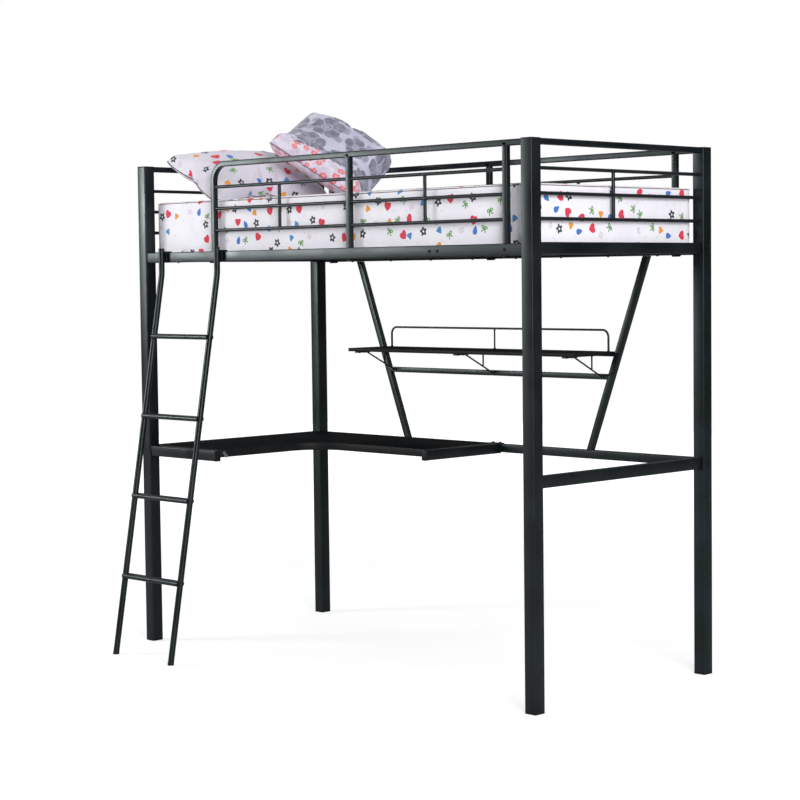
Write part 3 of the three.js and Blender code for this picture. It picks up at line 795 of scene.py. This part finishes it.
def desk_hardware():
    """Plastic plugs in the open arm ends, and the fixings of the bracket and the shelf."""
    for node, out in (("desk_arm_front", X_AXIS), ("desk_arm_right", -Y_AXIS)):
        box = Box(node)
        mouth = box.middle + out * abs(box.size.dot(out)) / 2
        width = box.size.y if out.x else box.size.x
        solid = Solid()
        flange = rounded(width + 1.5 * MM, box.size.z + 1.5 * MM, 4 * MM, 5)
        solid.beam(flange, mouth + out * 0.2 * MM, mouth + out * 4 * MM)
        solid.finish_plastic(node + "_plug", bevel=0.8 * MM)
    low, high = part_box("desk_arm_bracket")
    bolts("desk_arm_bracket_bolts", [
        ((x, high.y - 9 * MM, high.z - HEAD_SUNK), Z_AXIS, 11 * MM, 4 * MM)
        for x in (low.x + 12 * MM, high.x - 12 * MM)
    ])
    brackets = [Box(node) for node in SHELF_BRACKETS]
    bolts("shelf_bracket_screws", [
        ((box.middle.x, box.low.y + back * MM, box.high.z - 4.9 * MM), -Z_AXIS, 7 * MM, 2 * MM)
        for box in brackets for back in (16, 46)
    ], ZINC, "zinc_steel")


post_bolts()
rail_bolts()
desk_hardware()
for cad_node, cad_material in (("desk_arm_bracket", FRAME_PAINT), ("desk_corner_strap", ZINC)):
    frame["nodes"][cad_node].data.materials.clear()
    frame["nodes"][cad_node].data.materials.append(cad_material)


# Cloth

def cut_place(graph):
    """Where a point was on the flat cloth, in metres: both coordinates, and the two as one vector."""
    split = graph.node("SeparateXYZ", Vector=graph.node("UVMap", {"uv_map": "cut"}).outputs[0])
    u, v = (Field(graph, socket) for socket in split.outputs[:2])
    return u, v, graph.node("CombineXYZ", X=u, Y=v).outputs[0]


def jittered_cells(graph, u, v, size, jitter, seed=0.0):
    """Cells of a grid: the distance from each one's own shifted middle, and its random numbers."""
    a, b = u / size[0], v / size[1]
    column, row = a.floor(), b.floor()
    number = graph.node("CombineXYZ", X=column, Y=row, Z=seed)
    dice = graph.node("TexWhiteNoise", {"noise_dimensions": "3D"}, Vector=number.outputs[0])
    split = graph.node("SeparateColor", Color=dice.outputs["Color"])
    picks = [Field(graph, socket) for socket in split.outputs[:3]]
    value = Field(graph, dice.outputs["Value"])
    even = (column * 0.382 + row * 0.764 + value * 0.24).fraction()
    x = (a - column - 0.5 - (picks[0] - 0.5) * jitter) * size[0]
    y = (b - row - 0.5 - (picks[1] - 0.5) * jitter) * size[1]
    return x, y, [*picks, value, even]


def turned_place(x, y, angle):
    cos, sin = angle.cosine(), angle.sine()
    return x * cos - y * sin, x * sin + y * cos


def printed_cotton(name, low_ground, high_ground):
    """White cotton with a scattered print of hearts, drops, bells, bows, stars and fine dashes."""
    graph = new_material(name)
    u, v, flat = cut_place(graph)
    cell = (0.056, 0.052)
    x, y, picks = jittered_cells(graph, u, v, cell, 0.6)
    x, y = turned_place(x / 0.0152, y / 0.0152, (picks[2] - 0.5) * 1.5)
    pick = picks[4]
    lobe = x * x + y * y - 0.8
    heart = (lobe * lobe * lobe - x * x * y * y * y * 1.1).below(0.0)
    drop_width = (1.0 - y) * (1.0 - y) * (1.0 + y)
    drop = (x * x).below(drop_width * 0.36) & y.below(1.0)
    bell = (x * x).below(drop_width * 0.5) & y.below(1.0) & y.above(-0.5)
    across = x.abs()
    loop = ((across - 0.46) * (across - 0.46) + (y - 0.25) * (y - 0.25) * 1.5).root()
    tail = (across + y * 0.55 - 0.08).abs().below(0.17) & y.below(0.1) & y.above(-0.85)
    bow = (loop - 0.32).abs().below(0.15) | tail
    point = (graph.math("ARCTAN2", x, y) * 5.0).cosine()
    star = ((x * x + y * y).root() / (point * 0.22 + 0.9) - 0.62).abs().below(0.33)
    rows = (y * 2.6).fraction().below(0.34) & y.abs().below(0.62)
    dashes = rows & x.abs().below(0.75) & (x * 3.1).fraction().below(0.7)
    prints = (
        (0.00, 0.15, heart, colour(222, 44, 70)),
        (0.20, 0.29, bell, colour(64, 140, 204)),
        (0.29, 0.35, drop, colour(52, 116, 200)),
        (0.40, 0.49, bell, colour(238, 152, 44)),
        (0.53, 0.67, bow, colour(92, 152, 60)),
        (0.71, 0.83, star, colour(32, 38, 40)),
        (0.87, 0.97, dashes, colour(176, 120, 140)),
    )
    shade = graph.tones(graph.noise(7.0), 0.35, 0.7, low_ground, high_ground)
    for low, high, shape, ink in prints:
        shade = graph.mix(shape & pick.above(low) & pick.below(high), shade, ink)
    x, y, picks = jittered_cells(graph, u + cell[0] / 2, v + cell[1] / 2, cell, 0.3, seed=7.0)
    x, y = turned_place(x / 0.008, y / 0.008, picks[2] * 3.0)
    fleck = x.abs().below(0.9) & (x * 2.2).fraction().below(0.6) & y.abs().below(0.09)
    shade = graph.mix(fleck & picks[3].below(0.6), shade, colour(176, 168, 190))
    return washed_cotton(graph, shade, u, v, flat)


def flowers(graph, u, v, size, radius, petals, seed):
    """Round flowers, one to a cell: their petals, the veins between them and a random number."""
    x, y, picks = jittered_cells(graph, u, v, size, 0.28, seed)
    reach = (x * x + y * y).root() / (picks[4] * 0.35 + 0.72) / radius
    angle = graph.math("ARCTAN2", y, x) + picks[2] * 6.0
    wave = (angle * (petals / 2)).sine().abs()
    inside = reach.below(wave * 0.22 + 0.82)
    vein = (wave * reach).below(0.09) | (reach - 0.3).abs().below(0.045)
    return inside, inside & vein, picks[3]


def petal_cotton(name):
    """Lavender cotton with large veined grey flowers, and small coral blossoms along one side; its ground
    and flowers are darkened with painted shade of the pillow's face.
    """
    graph = new_material(name)
    u, v, flat = cut_place(graph)
    drift_u, drift_v = (graph.noise(16.0, flat) - 0.5) * 0.03, (graph.noise(13.0, flat) - 0.5) * 0.03
    big, vein = flowers(graph, u + drift_u, v + drift_v, (0.105, 0.1), 0.053, 5, 0.0)[:2]
    small, small_pick = flowers(graph, u + 0.03 + drift_v, v, (0.05, 0.052), 0.017, 4, 3.0)[::2]
    coral, coral_vein, coral_pick = flowers(graph, u, v + 0.01, (0.034, 0.032), 0.013, 5, 5.0)
    blotch = graph.noise(38.0, flat)
    # The ground and flower tones are the print's lavender and grey, darkened with painted shade of the
    # pillow's face
    shade = graph.tones(graph.noise(9.0), 0.35, 0.7, colour(182, 182, 204), colour(206, 205, 223))
    soft = graph.tones(blotch, 0.4, 0.62, colour(142, 143, 162), colour(164, 164, 184))
    petal = graph.tones(blotch, 0.36, 0.66, colour(108, 110, 126), colour(142, 143, 160))
    pale = graph.tones(blotch, 0.4, 0.6, colour(206, 196, 214), colour(222, 214, 228))
    side = (v * 0.9 - u * 0.1 + graph.noise(14.0, flat) * 0.1).below(-0.045)
    blossoms = side & coral_pick.below(0.62)
    for share, ink in (
        (small & small_pick.below(0.8), soft),
        (big, petal),
        (vein, colour(166, 166, 186)),
        (side, pale),
        (blossoms & coral, colour(228, 112, 118)),
        (blossoms & coral_vein, colour(240, 188, 194)),
    ):
        shade = graph.mix(share, shade, ink)
    return washed_cotton(graph, shade, u, v, flat)


def washed_cotton(graph, shade, u, v, flat):
    """The weave, slubs and small creases of washed cotton over a print."""
    warp, weft = ((along * (2 * math.pi / WEAVE)).sine() for along in (u, v))
    slub = graph.noise(420.0, flat)
    crease = graph.noise(17.0, flat, detail=6.0, roughness=0.6)
    weave = graph.bump(warp * weft + slub * 1.2, 0.00012, 0.5)
    graph.set(Base_Color=graph.mix(graph.ramp(slub, 0.4, 0.75, 0.0, 0.14), shade, colour(205, 203, 214)))
    graph.set(Roughness=0.86, Sheen_Weight=0.22, Sheen_Roughness=0.5, Specular_IOR_Level=0.25)
    graph.set(Normal=graph.bump(crease, 0.0075, 0.55, Normal=weave))
    return graph.owner


def plain_cotton(name, base):
    """Plain cloth, for the piping and the mattress's ticking."""
    graph = new_material(name)
    speck = graph.noise(700.0)
    darker = (*(c * 0.86 for c in base[:3]), 1.0)
    graph.set(Base_Color=graph.tones(speck, 0.35, 0.65, base, darker))
    graph.set(Roughness=0.88, Sheen_Weight=0.2, Normal=graph.bump(speck, 0.0003, 0.8))
    return graph.owner


SHEET = printed_cotton("sheet_fabric", colour(240, 237, 246), colour(246, 244, 251))
# The pillowcase is the sheet's print with a darker ground: painted shade for the pillow's face, which is
# turned from the light
SHADED_CASE = printed_cotton("pillow_case_painted_shade", colour(214, 210, 222), colour(226, 223, 233))
PETALS = petal_cotton("petal_fabric")
TICKING = plain_cotton("mattress_ticking", colour(226, 224, 228))
PIPING = plain_cotton("piping_cloth", colour(96, 66, 74))
GREY_PIPING = plain_cotton("grey_piping_cloth", colour(104, 102, 122))


# Cloth meshes and their simulation

def rim_order(nx, ny):
    """The cells round a grid's rim, in turn."""
    order = [(i, 0) for i in range(nx)] + [(nx, j) for j in range(ny)]
    return order + [(i, ny) for i in range(nx, 0, -1)] + [(0, j) for j in range(ny, 0, -1)]


class Cloth:
    """Vertices and quads, with each corner's place on the flat cloth."""

    def __init__(self):
        self.points, self.faces, self.flat = [], [], []

    def grid(self, nx, ny, place_of, shared):
        """Adds a grid's vertices, all but the shared ones, and says which vertex is at each cell."""
        index = {}
        for cell in ((i, j) for i in range(nx + 1) for j in range(ny + 1)):
            index[cell] = shared.get(cell, len(self.points))
            if cell not in shared:
                self.points.append(place_of(*cell))
        return index

    def panel(self, nx, ny, index, flat_of, facing_back=False):
        """Adds a grid's quads."""
        for i, j in ((i, j) for i in range(nx) for j in range(ny)):
            cells = [(i, j), (i + 1, j), (i + 1, j + 1), (i, j + 1)]
            if facing_back:
                cells.reverse()
            self.faces.append([index[c] for c in cells])
            self.flat.extend(flat_of(*c) for c in cells)

    def mesh(self, name):
        mesh = bpy.data.meshes.new(name)
        mesh.from_pydata([tuple(p) for p in self.points], [], self.faces)
        layer = mesh.uv_layers.new(name="cut")
        layer.data.foreach_set("uv", np.array(self.flat, dtype=np.float32).ravel())
        mesh.update()
        return mesh


def read_points(mesh):
    points = np.empty(len(mesh.vertices) * 3, dtype=np.float32)
    mesh.vertices.foreach_get("co", points)
    return points.reshape(-1, 3).astype(np.float64)


def simulate(piece, frames, stretch, bending, pressure=0.0, gravity=0.0, grow=0.0, pins=(), mass=0.15):
    """Runs the cloth and returns where its vertices end up, with no modifier left behind."""
    scene = bpy.context.scene
    cloth = piece.modifiers.new("cloth", "CLOTH")
    for clock in (scene, cloth.point_cache):
        clock.frame_start, clock.frame_end = 1, frames
    settings = cloth.settings
    settings.quality = 6
    settings.mass = mass
    settings.air_damping = 2.0
    settings.tension_stiffness = settings.compression_stiffness = stretch
    settings.shear_stiffness = stretch * 0.4
    settings.bending_stiffness = bending
    settings.effector_weights.gravity = gravity
    settings.shrink_min = -grow
    settings.use_pressure = pressure > 0
    settings.uniform_pressure_force = pressure
    if pins:
        piece.vertex_groups.new(name="pins").add(pins, 1.0, "REPLACE")
        settings.vertex_group_mass = "pins"
    cloth.collision_settings.distance_min = 2 * MM
    cloth.collision_settings.use_self_collision = False
    for number in range(1, frames + 1):
        scene.frame_set(number)
    points = read_points(piece.evaluated_get(bpy.context.evaluated_depsgraph_get()).data)
    piece.modifiers.remove(cloth)
    piece.vertex_groups.clear()
    scene.frame_set(1)
    return points


def capped(points, rest, most):
    """Keeps every point within a distance of its rest place."""
    move = points - rest
    length = np.linalg.norm(move, axis=1, keepdims=True)
    return rest + move * np.minimum(1.0, most / np.maximum(length, 1e-9))


def settle(piece, points, floor_z):
    """Gives a piece its points, flattened where they would go below a height, and smooths it."""
    points[:, 2] = np.maximum(points[:, 2], floor_z)
    piece.data.vertices.foreach_set("co", points.astype(np.float32).ravel())
    piece.data.update()
    smooth = piece.modifiers.new("subdivision", "SUBSURF")
    smooth.levels = smooth.render_levels = 1


def piping(points, diameter, name, cloth_material, body, slot):
    """A closed cord along a loop of points."""
    solid = Solid()
    loops = []
    lift = Z_AXIS
    for i, point in enumerate(points):
        along = (points[(i + 1) % len(points)] - points[i - 1]).normalized()
        lift = along.cross(Z_AXIS if abs(along.z) < 0.9 else lift).normalized()
        side = along.cross(lift)
        loops.append(solid.loop(point + lift * a + side * b for a, b in round_section(diameter, 8)))
    solid.skin(loops + loops[:1])
    solid.finish(name, cloth_material, body, slot, smooth=180)


def corner_rounded(x, y, half_x, half_y, radius):
    """Moves a point of a rectangle's grid so that the rectangle's corners become round."""
    over_x, over_y = abs(x) - (half_x - radius), abs(y) - (half_y - radius)
    if over_x <= 0 or over_y <= 0:
        return x, y
    scale = max(over_x, over_y) / math.hypot(over_x, over_y)
    return (
        math.copysign(half_x - radius + over_x * scale, x),
        math.copysign(half_y - radius + over_y * scale, y),
    )


# Mattress and fitted sheet

class Shell(Cloth):
    """The mattress's box as cloth with rounded corners: a top panel, and rings down its sides."""

    def __init__(self, size, top, step):
        super().__init__()
        self.half_x, self.half_y = size.x / 2 - MATTRESS_EDGE, size.y / 2 - MATTRESS_EDGE
        self.corner = MATTRESS_CORNER - MATTRESS_EDGE
        self.cells = 2 * round(self.half_x / step), 2 * round(self.half_y / step)
        self.rim = rim_order(*self.cells)
        index = self.level(top, {})
        self.ring = [index[c] for c in self.rim]
        self.rows = []
        self.rim_flat = [Vector(self.points[i]).to_2d() for i in self.ring]
        self.outward = [self.straight_out(at) for at in self.rim_flat]

    def flat_place(self, i, j):
        x, y = self.half_x * (2 * i / self.cells[0] - 1), self.half_y * (2 * j / self.cells[1] - 1)
        return corner_rounded(x, y, self.half_x, self.half_y, self.corner)

    def level(self, z, shared, facing_back=False):
        """A level panel, on the rim's own vertices where they are shared."""
        index = self.grid(*self.cells, lambda i, j: (*self.flat_place(i, j), z), shared)
        self.panel(*self.cells, index, self.flat_place, facing_back)
        return index

    def straight_out(self, at):
        """The direction that points straight out of the side at a rim point."""
        over_x = max(abs(at.x) - (self.half_x - self.corner), 0)
        over_y = max(abs(at.y) - (self.half_y - self.corner), 0)
        return Vector((math.copysign(over_x, at.x), math.copysign(over_y, at.y))).normalized()

    def side(self, profile):
        """Rings that follow a profile of (distance out, height, distance along the cloth)."""
        count = len(self.ring)
        walked = 0.0
        for out, z, along in profile:
            ring = []
            for at, direction in zip(self.rim_flat, self.outward):
                drawn_in = Vector((at.x * (1 + out / self.half_x), at.y * (1 + out / self.half_y)))
                ring.append(len(self.points))
                self.points.append((*(at + direction * out if out >= 0 else drawn_in), z))
            for k in range(count):
                m = (k + 1) % count
                self.faces.append([self.ring[k], ring[k], ring[m], self.ring[m]])
                self.flat.extend(self.side_flat(k, m, walked, along))
            self.ring = ring
            self.rows.append(ring)
            walked = along

    def side_flat(self, k, m, upper, lower):
        """The flat cloth's places for one side face: square to whichever edge it hangs from."""
        out = self.outward[k] + self.outward[m]
        for index, down in ((k, upper), (k, lower), (m, lower), (m, upper)):
            at = self.rim_flat[index]
            if abs(out.x) > abs(out.y):
                yield math.copysign(self.half_x + down, out.x), at.y
            else:
                yield at.x, math.copysign(self.half_y + down, out.y)


def edge_profile(edge, height, rows, underlap, proud=0.0):
    """From the top panel's rim round the upper edge, down the side and round the lower edge."""
    reach, straight = edge + proud, height - 2 * edge
    shoulder = proud - reach
    turns = [k * math.pi / 8 for k in range(1, 5)]
    places = [(reach * math.sin(t), proud - reach * (1 - math.cos(t))) for t in turns]
    places += [(reach, shoulder - straight * k / rows) for k in range(1, rows + 1)]
    places += [(reach * math.cos(t), shoulder - straight - reach * math.sin(t)) for t in turns]
    places += [(-UNDERLAP_STEP * k, shoulder - reach - straight) for k in range(1, underlap + 1)]
    bend = [reach * math.pi / 8] * 4
    steps = bend + [straight / rows] * rows + bend + [UNDERLAP_STEP] * underlap
    return [(out, z, along) for (out, z), along in zip(places, accumulate(steps))]


def mattress():
    """A foam mattress in ticking, quilted underneath."""
    box = Box("mattress")
    height = box.size.z
    shell = Shell(box.size, 0.0, 24 * MM)
    shell.side(edge_profile(MATTRESS_EDGE - 1 * MM, height - 2 * MM, 7, 0))
    shell.level(-height + 2 * MM, dict(zip(shell.rim, shell.ring)), facing_back=True)
    mesh = shell.mesh("mattress_foam")
    piece = place("mattress_foam", mesh, TICKING, "mattress", "sheet_fabric", ["mattress"], smooth=180)
    points = rest = read_points(mesh)
    blown = simulate(piece, 16, 20.0, 4.0, pressure=2.0, mass=0.4)
    points = capped(blown, rest, 2 * MM)
    under = points[:, 2] < -height + 12 * MM
    waves = np.sin(points[:, :2] * math.pi / QUILTING)
    points[:, 2] += np.where(under, 5 * MM * (1 - np.abs(waves[:, 0] * waves[:, 1])) ** 2, 0.0)
    points += np.array((box.middle.x, box.middle.y, box.high.z - 1 * MM))
    settle(piece, points, Box("slat_1").high.z + 0.5 * MM)
    return piece


def fitted_sheet(foam):
    """A fitted sheet stretched over the mattress, its hem gathered underneath."""
    box = Box("mattress")
    proud = 3 * MM
    middle = box.middle.to_2d()
    shell = Shell(box.size, proud, 15 * MM)
    profile = edge_profile(MATTRESS_EDGE, box.size.z, 13, 3, proud)
    shell.side(profile)
    hem = shell.ring
    mesh = shell.mesh("fitted_sheet")
    mesh.transform(Matrix.Translation((*middle, box.high.z)))
    piece = place("fitted_sheet", mesh, SHEET, "mattress", "sheet_fabric", smooth=180)
    points = rest = read_points(mesh)
    foam.modifiers.new("collision", "COLLISION")
    foam.collision.thickness_outer = 1 * MM
    foam.collision.cloth_friction = 12
    points = simulate(piece, 18, 16.0, 0.06, gravity=0.6, grow=0.012, pins=hem, mass=0.2)
    foam.modifiers.remove(foam.modifiers["collision"])
    points = capped(points, rest, 3.5 * MM)
    points[hem, 2] += 1.5 * MM * np.array([math.sin(k * 2.4) for k in range(len(hem))])
    thickness = piece.modifiers.new("thickness", "SOLIDIFY")
    thickness.thickness, thickness.offset = 0.8 * MM, 1.0
    settle(piece, points, Box("slat_1").high.z + 0.3 * MM)
    drop = profile[-1][2]
    width, length = (2 * (half + drop) for half in (shell.half_y, shell.half_x))
    area = width * length - 4 * drop ** 2
    seam = []
    for at in (Vector(points[index]) for index in shell.rows[1]):
        out = Vector((*(at.to_2d() - middle).normalized(), 1)).normalized()
        seam.append(at + out * 0.8 * MM)
    piping(seam, 3 * MM, "sheet_piping", PIPING, "mattress", "sheet_fabric")


fitted_sheet(mattress())


# Pillows

def pillow_case(width, height, step, corner, barrel):
    """Two panels with bowed edges, sewn together round their rim, barely apart; and the rim's vertices."""
    nx, ny = round(width / step), round(height / step)

    def place_of(i, j, side):
        puff = math.sin(math.pi * i / nx) * math.sin(math.pi * j / ny)
        x, y = width * (i / nx - 0.5), height * (j / ny - 0.5)
        x, y = corner_rounded(x, y, width / 2, height / 2, corner)
        bow_x, bow_y = 1 - (2 * y / height) ** 2, 1 - (2 * x / width) ** 2
        return x * (1 + barrel[0] * bow_x), y * (1 + barrel[1] * bow_y), side * 0.02 * puff

    def flat_of(i, j, side):
        return (1 - side) * 1.5 * width + side * width * (i / nx - 0.5), height * (j / ny - 0.5)

    cloth = Cloth()
    upper = cloth.grid(nx, ny, lambda i, j: place_of(i, j, 1), {})
    rim = {cell: upper[cell] for cell in rim_order(nx, ny)}
    lower = cloth.grid(nx, ny, lambda i, j: place_of(i, j, -1), rim)
    cloth.panel(nx, ny, upper, lambda i, j: flat_of(i, j, 1))
    cloth.panel(nx, ny, lower, lambda i, j: flat_of(i, j, -1), facing_back=True)
    return cloth, list(rim.values())


def pillow(node, centre, across, up, size, pressure, looks, corner, barrel, sink=0.0, fold=0.0):
    """A stuffed pillow: a sewn case blown up by simulation, then laid on the mattress.

    Across and up are the directions of its width and height; size is its width, height and thickness.
    Its middle can be sunk, and its top corner folded back.
    """
    cloth_material, slot, piping_material = looks
    name = node + "_stuffed"
    cloth, rim = pillow_case(size[0] * 1.09, size[1] * 1.1, 9 * MM, corner, barrel)
    mesh = cloth.mesh(name)
    piece = place(name, mesh, cloth_material, node, slot, [node], smooth=180)
    points = simulate(piece, 26, 14.0, 0.05, pressure=pressure)
    points -= (points.max(axis=0) + points.min(axis=0)) / 2
    points *= np.array(size) / (points.max(axis=0) - points.min(axis=0))
    x, y, z = 2 * points[:, 0] / size[0], 2 * points[:, 1] / size[1], points[:, 2]
    plumped = z * np.where(z > 0, 1.3, 0.5)
    points[:, 2] = plumped - sink * (0.6 - y ** 2) - fold * (np.clip(-x, 0, 1) * np.clip(y, 0, 1)) ** 2
    across, up = Vector(across).normalized(), Vector(up)
    up = (up - across * up.dot(across)).normalized()
    points = points @ np.array((across, up, across.cross(up))) + np.array(centre) + (0, CENTRE_Y, 0)
    settle(piece, points, Box("mattress").high.z + SHEET_PROUD)
    seam = [mesh.vertices[i].co.copy() for i in rim]
    piping(seam, 3.4 * MM, name + "_piping", piping_material, node, slot)


pillow(
    "pillow_left",
    centre=(-0.736, -0.131, 1.745),
    across=(0.104, 0.994, 0.030),
    up=(-0.885, 0.074, 0.455),
    size=(0.524, 0.356, 0.158),
    pressure=5.0,
    looks=(SHADED_CASE, "sheet_fabric", PIPING),
    corner=26 * MM,
    barrel=(0.04, 0.04),
)
pillow(
    "pillow_right",
    centre=(-0.452, 0.030, 1.827),
    across=(0.674, 0.483, -0.55),
    up=(-0.24, 0.86, 0.42),
    size=(0.392, 0.350, 0.165),
    pressure=6.0,
    looks=(PETALS, "petal_fabric", GREY_PIPING),
    corner=66 * MM,
    barrel=(-0.02, 0.12),
    sink=75 * MM,
    fold=85 * MM,
)


# Floor, light and camera

def floor():
    """A pale floor that the camera sees fade to white away from the bed."""
    reach = 9
    mesh = bpy.data.meshes.new("floor")
    corners = [(-reach, -reach, 0), (reach, -reach, 0), (reach, reach, 0), (-reach, reach, 0)]
    mesh.from_pydata(corners, [], [(0, 1, 2, 3)])
    ground = add_to_scene("floor", mesh)
    ground.location.z = -0.5 * MM
    graph = new_material("floor")
    graph.set(Base_Color=(0.5, 0.5, 0.5, 1.0), Roughness=0.9, Specular_IOR_Level=0.1)
    distance = graph.node("VectorMath", {"operation": "LENGTH"}, Vector=graph.object_place())
    glow = graph.ramp(distance.outputs["Value"], 2.5, 6.0, 0.62, 0.95)
    seen = Field(graph, graph.node("LightPath").outputs["Is Camera Ray"])
    graph.set(Emission_Color=(1.0, 1.0, 1.0, 1.0), Emission_Strength=glow * seen)
    mesh.materials.append(graph.owner)


def softbox(name, at, target, size, power):
    data = bpy.data.lights.new(name, "AREA")
    data.shape = "RECTANGLE"
    data.size, data.size_y = size
    data.energy = power
    light = add_to_scene(name, data)
    light.location = at
    light.rotation_euler = (Vector(target) - Vector(at)).to_track_quat("-Z", "Y").to_euler()


def world():
    """A studio that is bright overhead and dim all round, seen as a white backdrop by the camera."""
    graph = Graph(bpy.data.worlds.new("studio"))
    split = graph.node("SeparateXYZ", Vector=graph.node("TexCoord").outputs["Generated"])
    reach = {"From_Min": 0.2, "From_Max": 0.6, "To_Min": 0.05, "To_Max": 0.72}
    lift = graph.node("MapRange", Value=split.outputs["Z"], **reach)
    graph.set(Color=(0.98, 0.99, 1.0, 1.0), Strength=lift.outputs[0])
    backdrop = graph.node("Background", Color=(1.0, 1.0, 1.0, 1.0))
    seen = graph.node("LightPath").outputs["Is Camera Ray"]
    choose = graph.node("MixShader")
    graph.feed_in_order(choose.inputs, (seen, graph.shader.outputs[0], backdrop.outputs[0]))
    graph.feed(graph.tree.nodes["World Output"].inputs["Surface"], choose.outputs[0])
    bpy.context.scene.world = graph.owner


def camera():
    azimuth, elevation, roll = (math.radians(a) for a in (45.55, 3.51, -0.68))
    level = Vector((math.cos(azimuth), math.sin(azimuth), 0))
    outward = Vector((math.sin(azimuth), -math.cos(azimuth), 0))
    back = outward * math.cos(elevation) + Z_AXIS * math.sin(elevation)
    upright = back.cross(level)
    right = level * math.cos(roll) + upright * math.sin(roll)
    up = upright * math.cos(roll) - level * math.sin(roll)
    data = bpy.data.cameras.new("camera")
    data.lens, data.sensor_width, data.clip_end = 91.05, 36, 300
    view = add_to_scene("camera", data)
    turn = Matrix((right, up, back)).transposed().to_4x4()
    view.matrix_world = Matrix.Translation((5.1697, CENTRE_Y - 5.1301, 1.3777)) @ turn
    bpy.context.scene.camera = view


floor()
world()
softbox("key", (-3.8, -3.25, 1.95), (-0.9, -0.4, 1.6), (1.0, 0.85), 106)
softbox("fill", (5.9, -3.2, 3.0), (0, 0, 1.3), (2.6, 2.6), 370)
camera()
bpy.context.scene.view_settings.view_transform = "Standard"
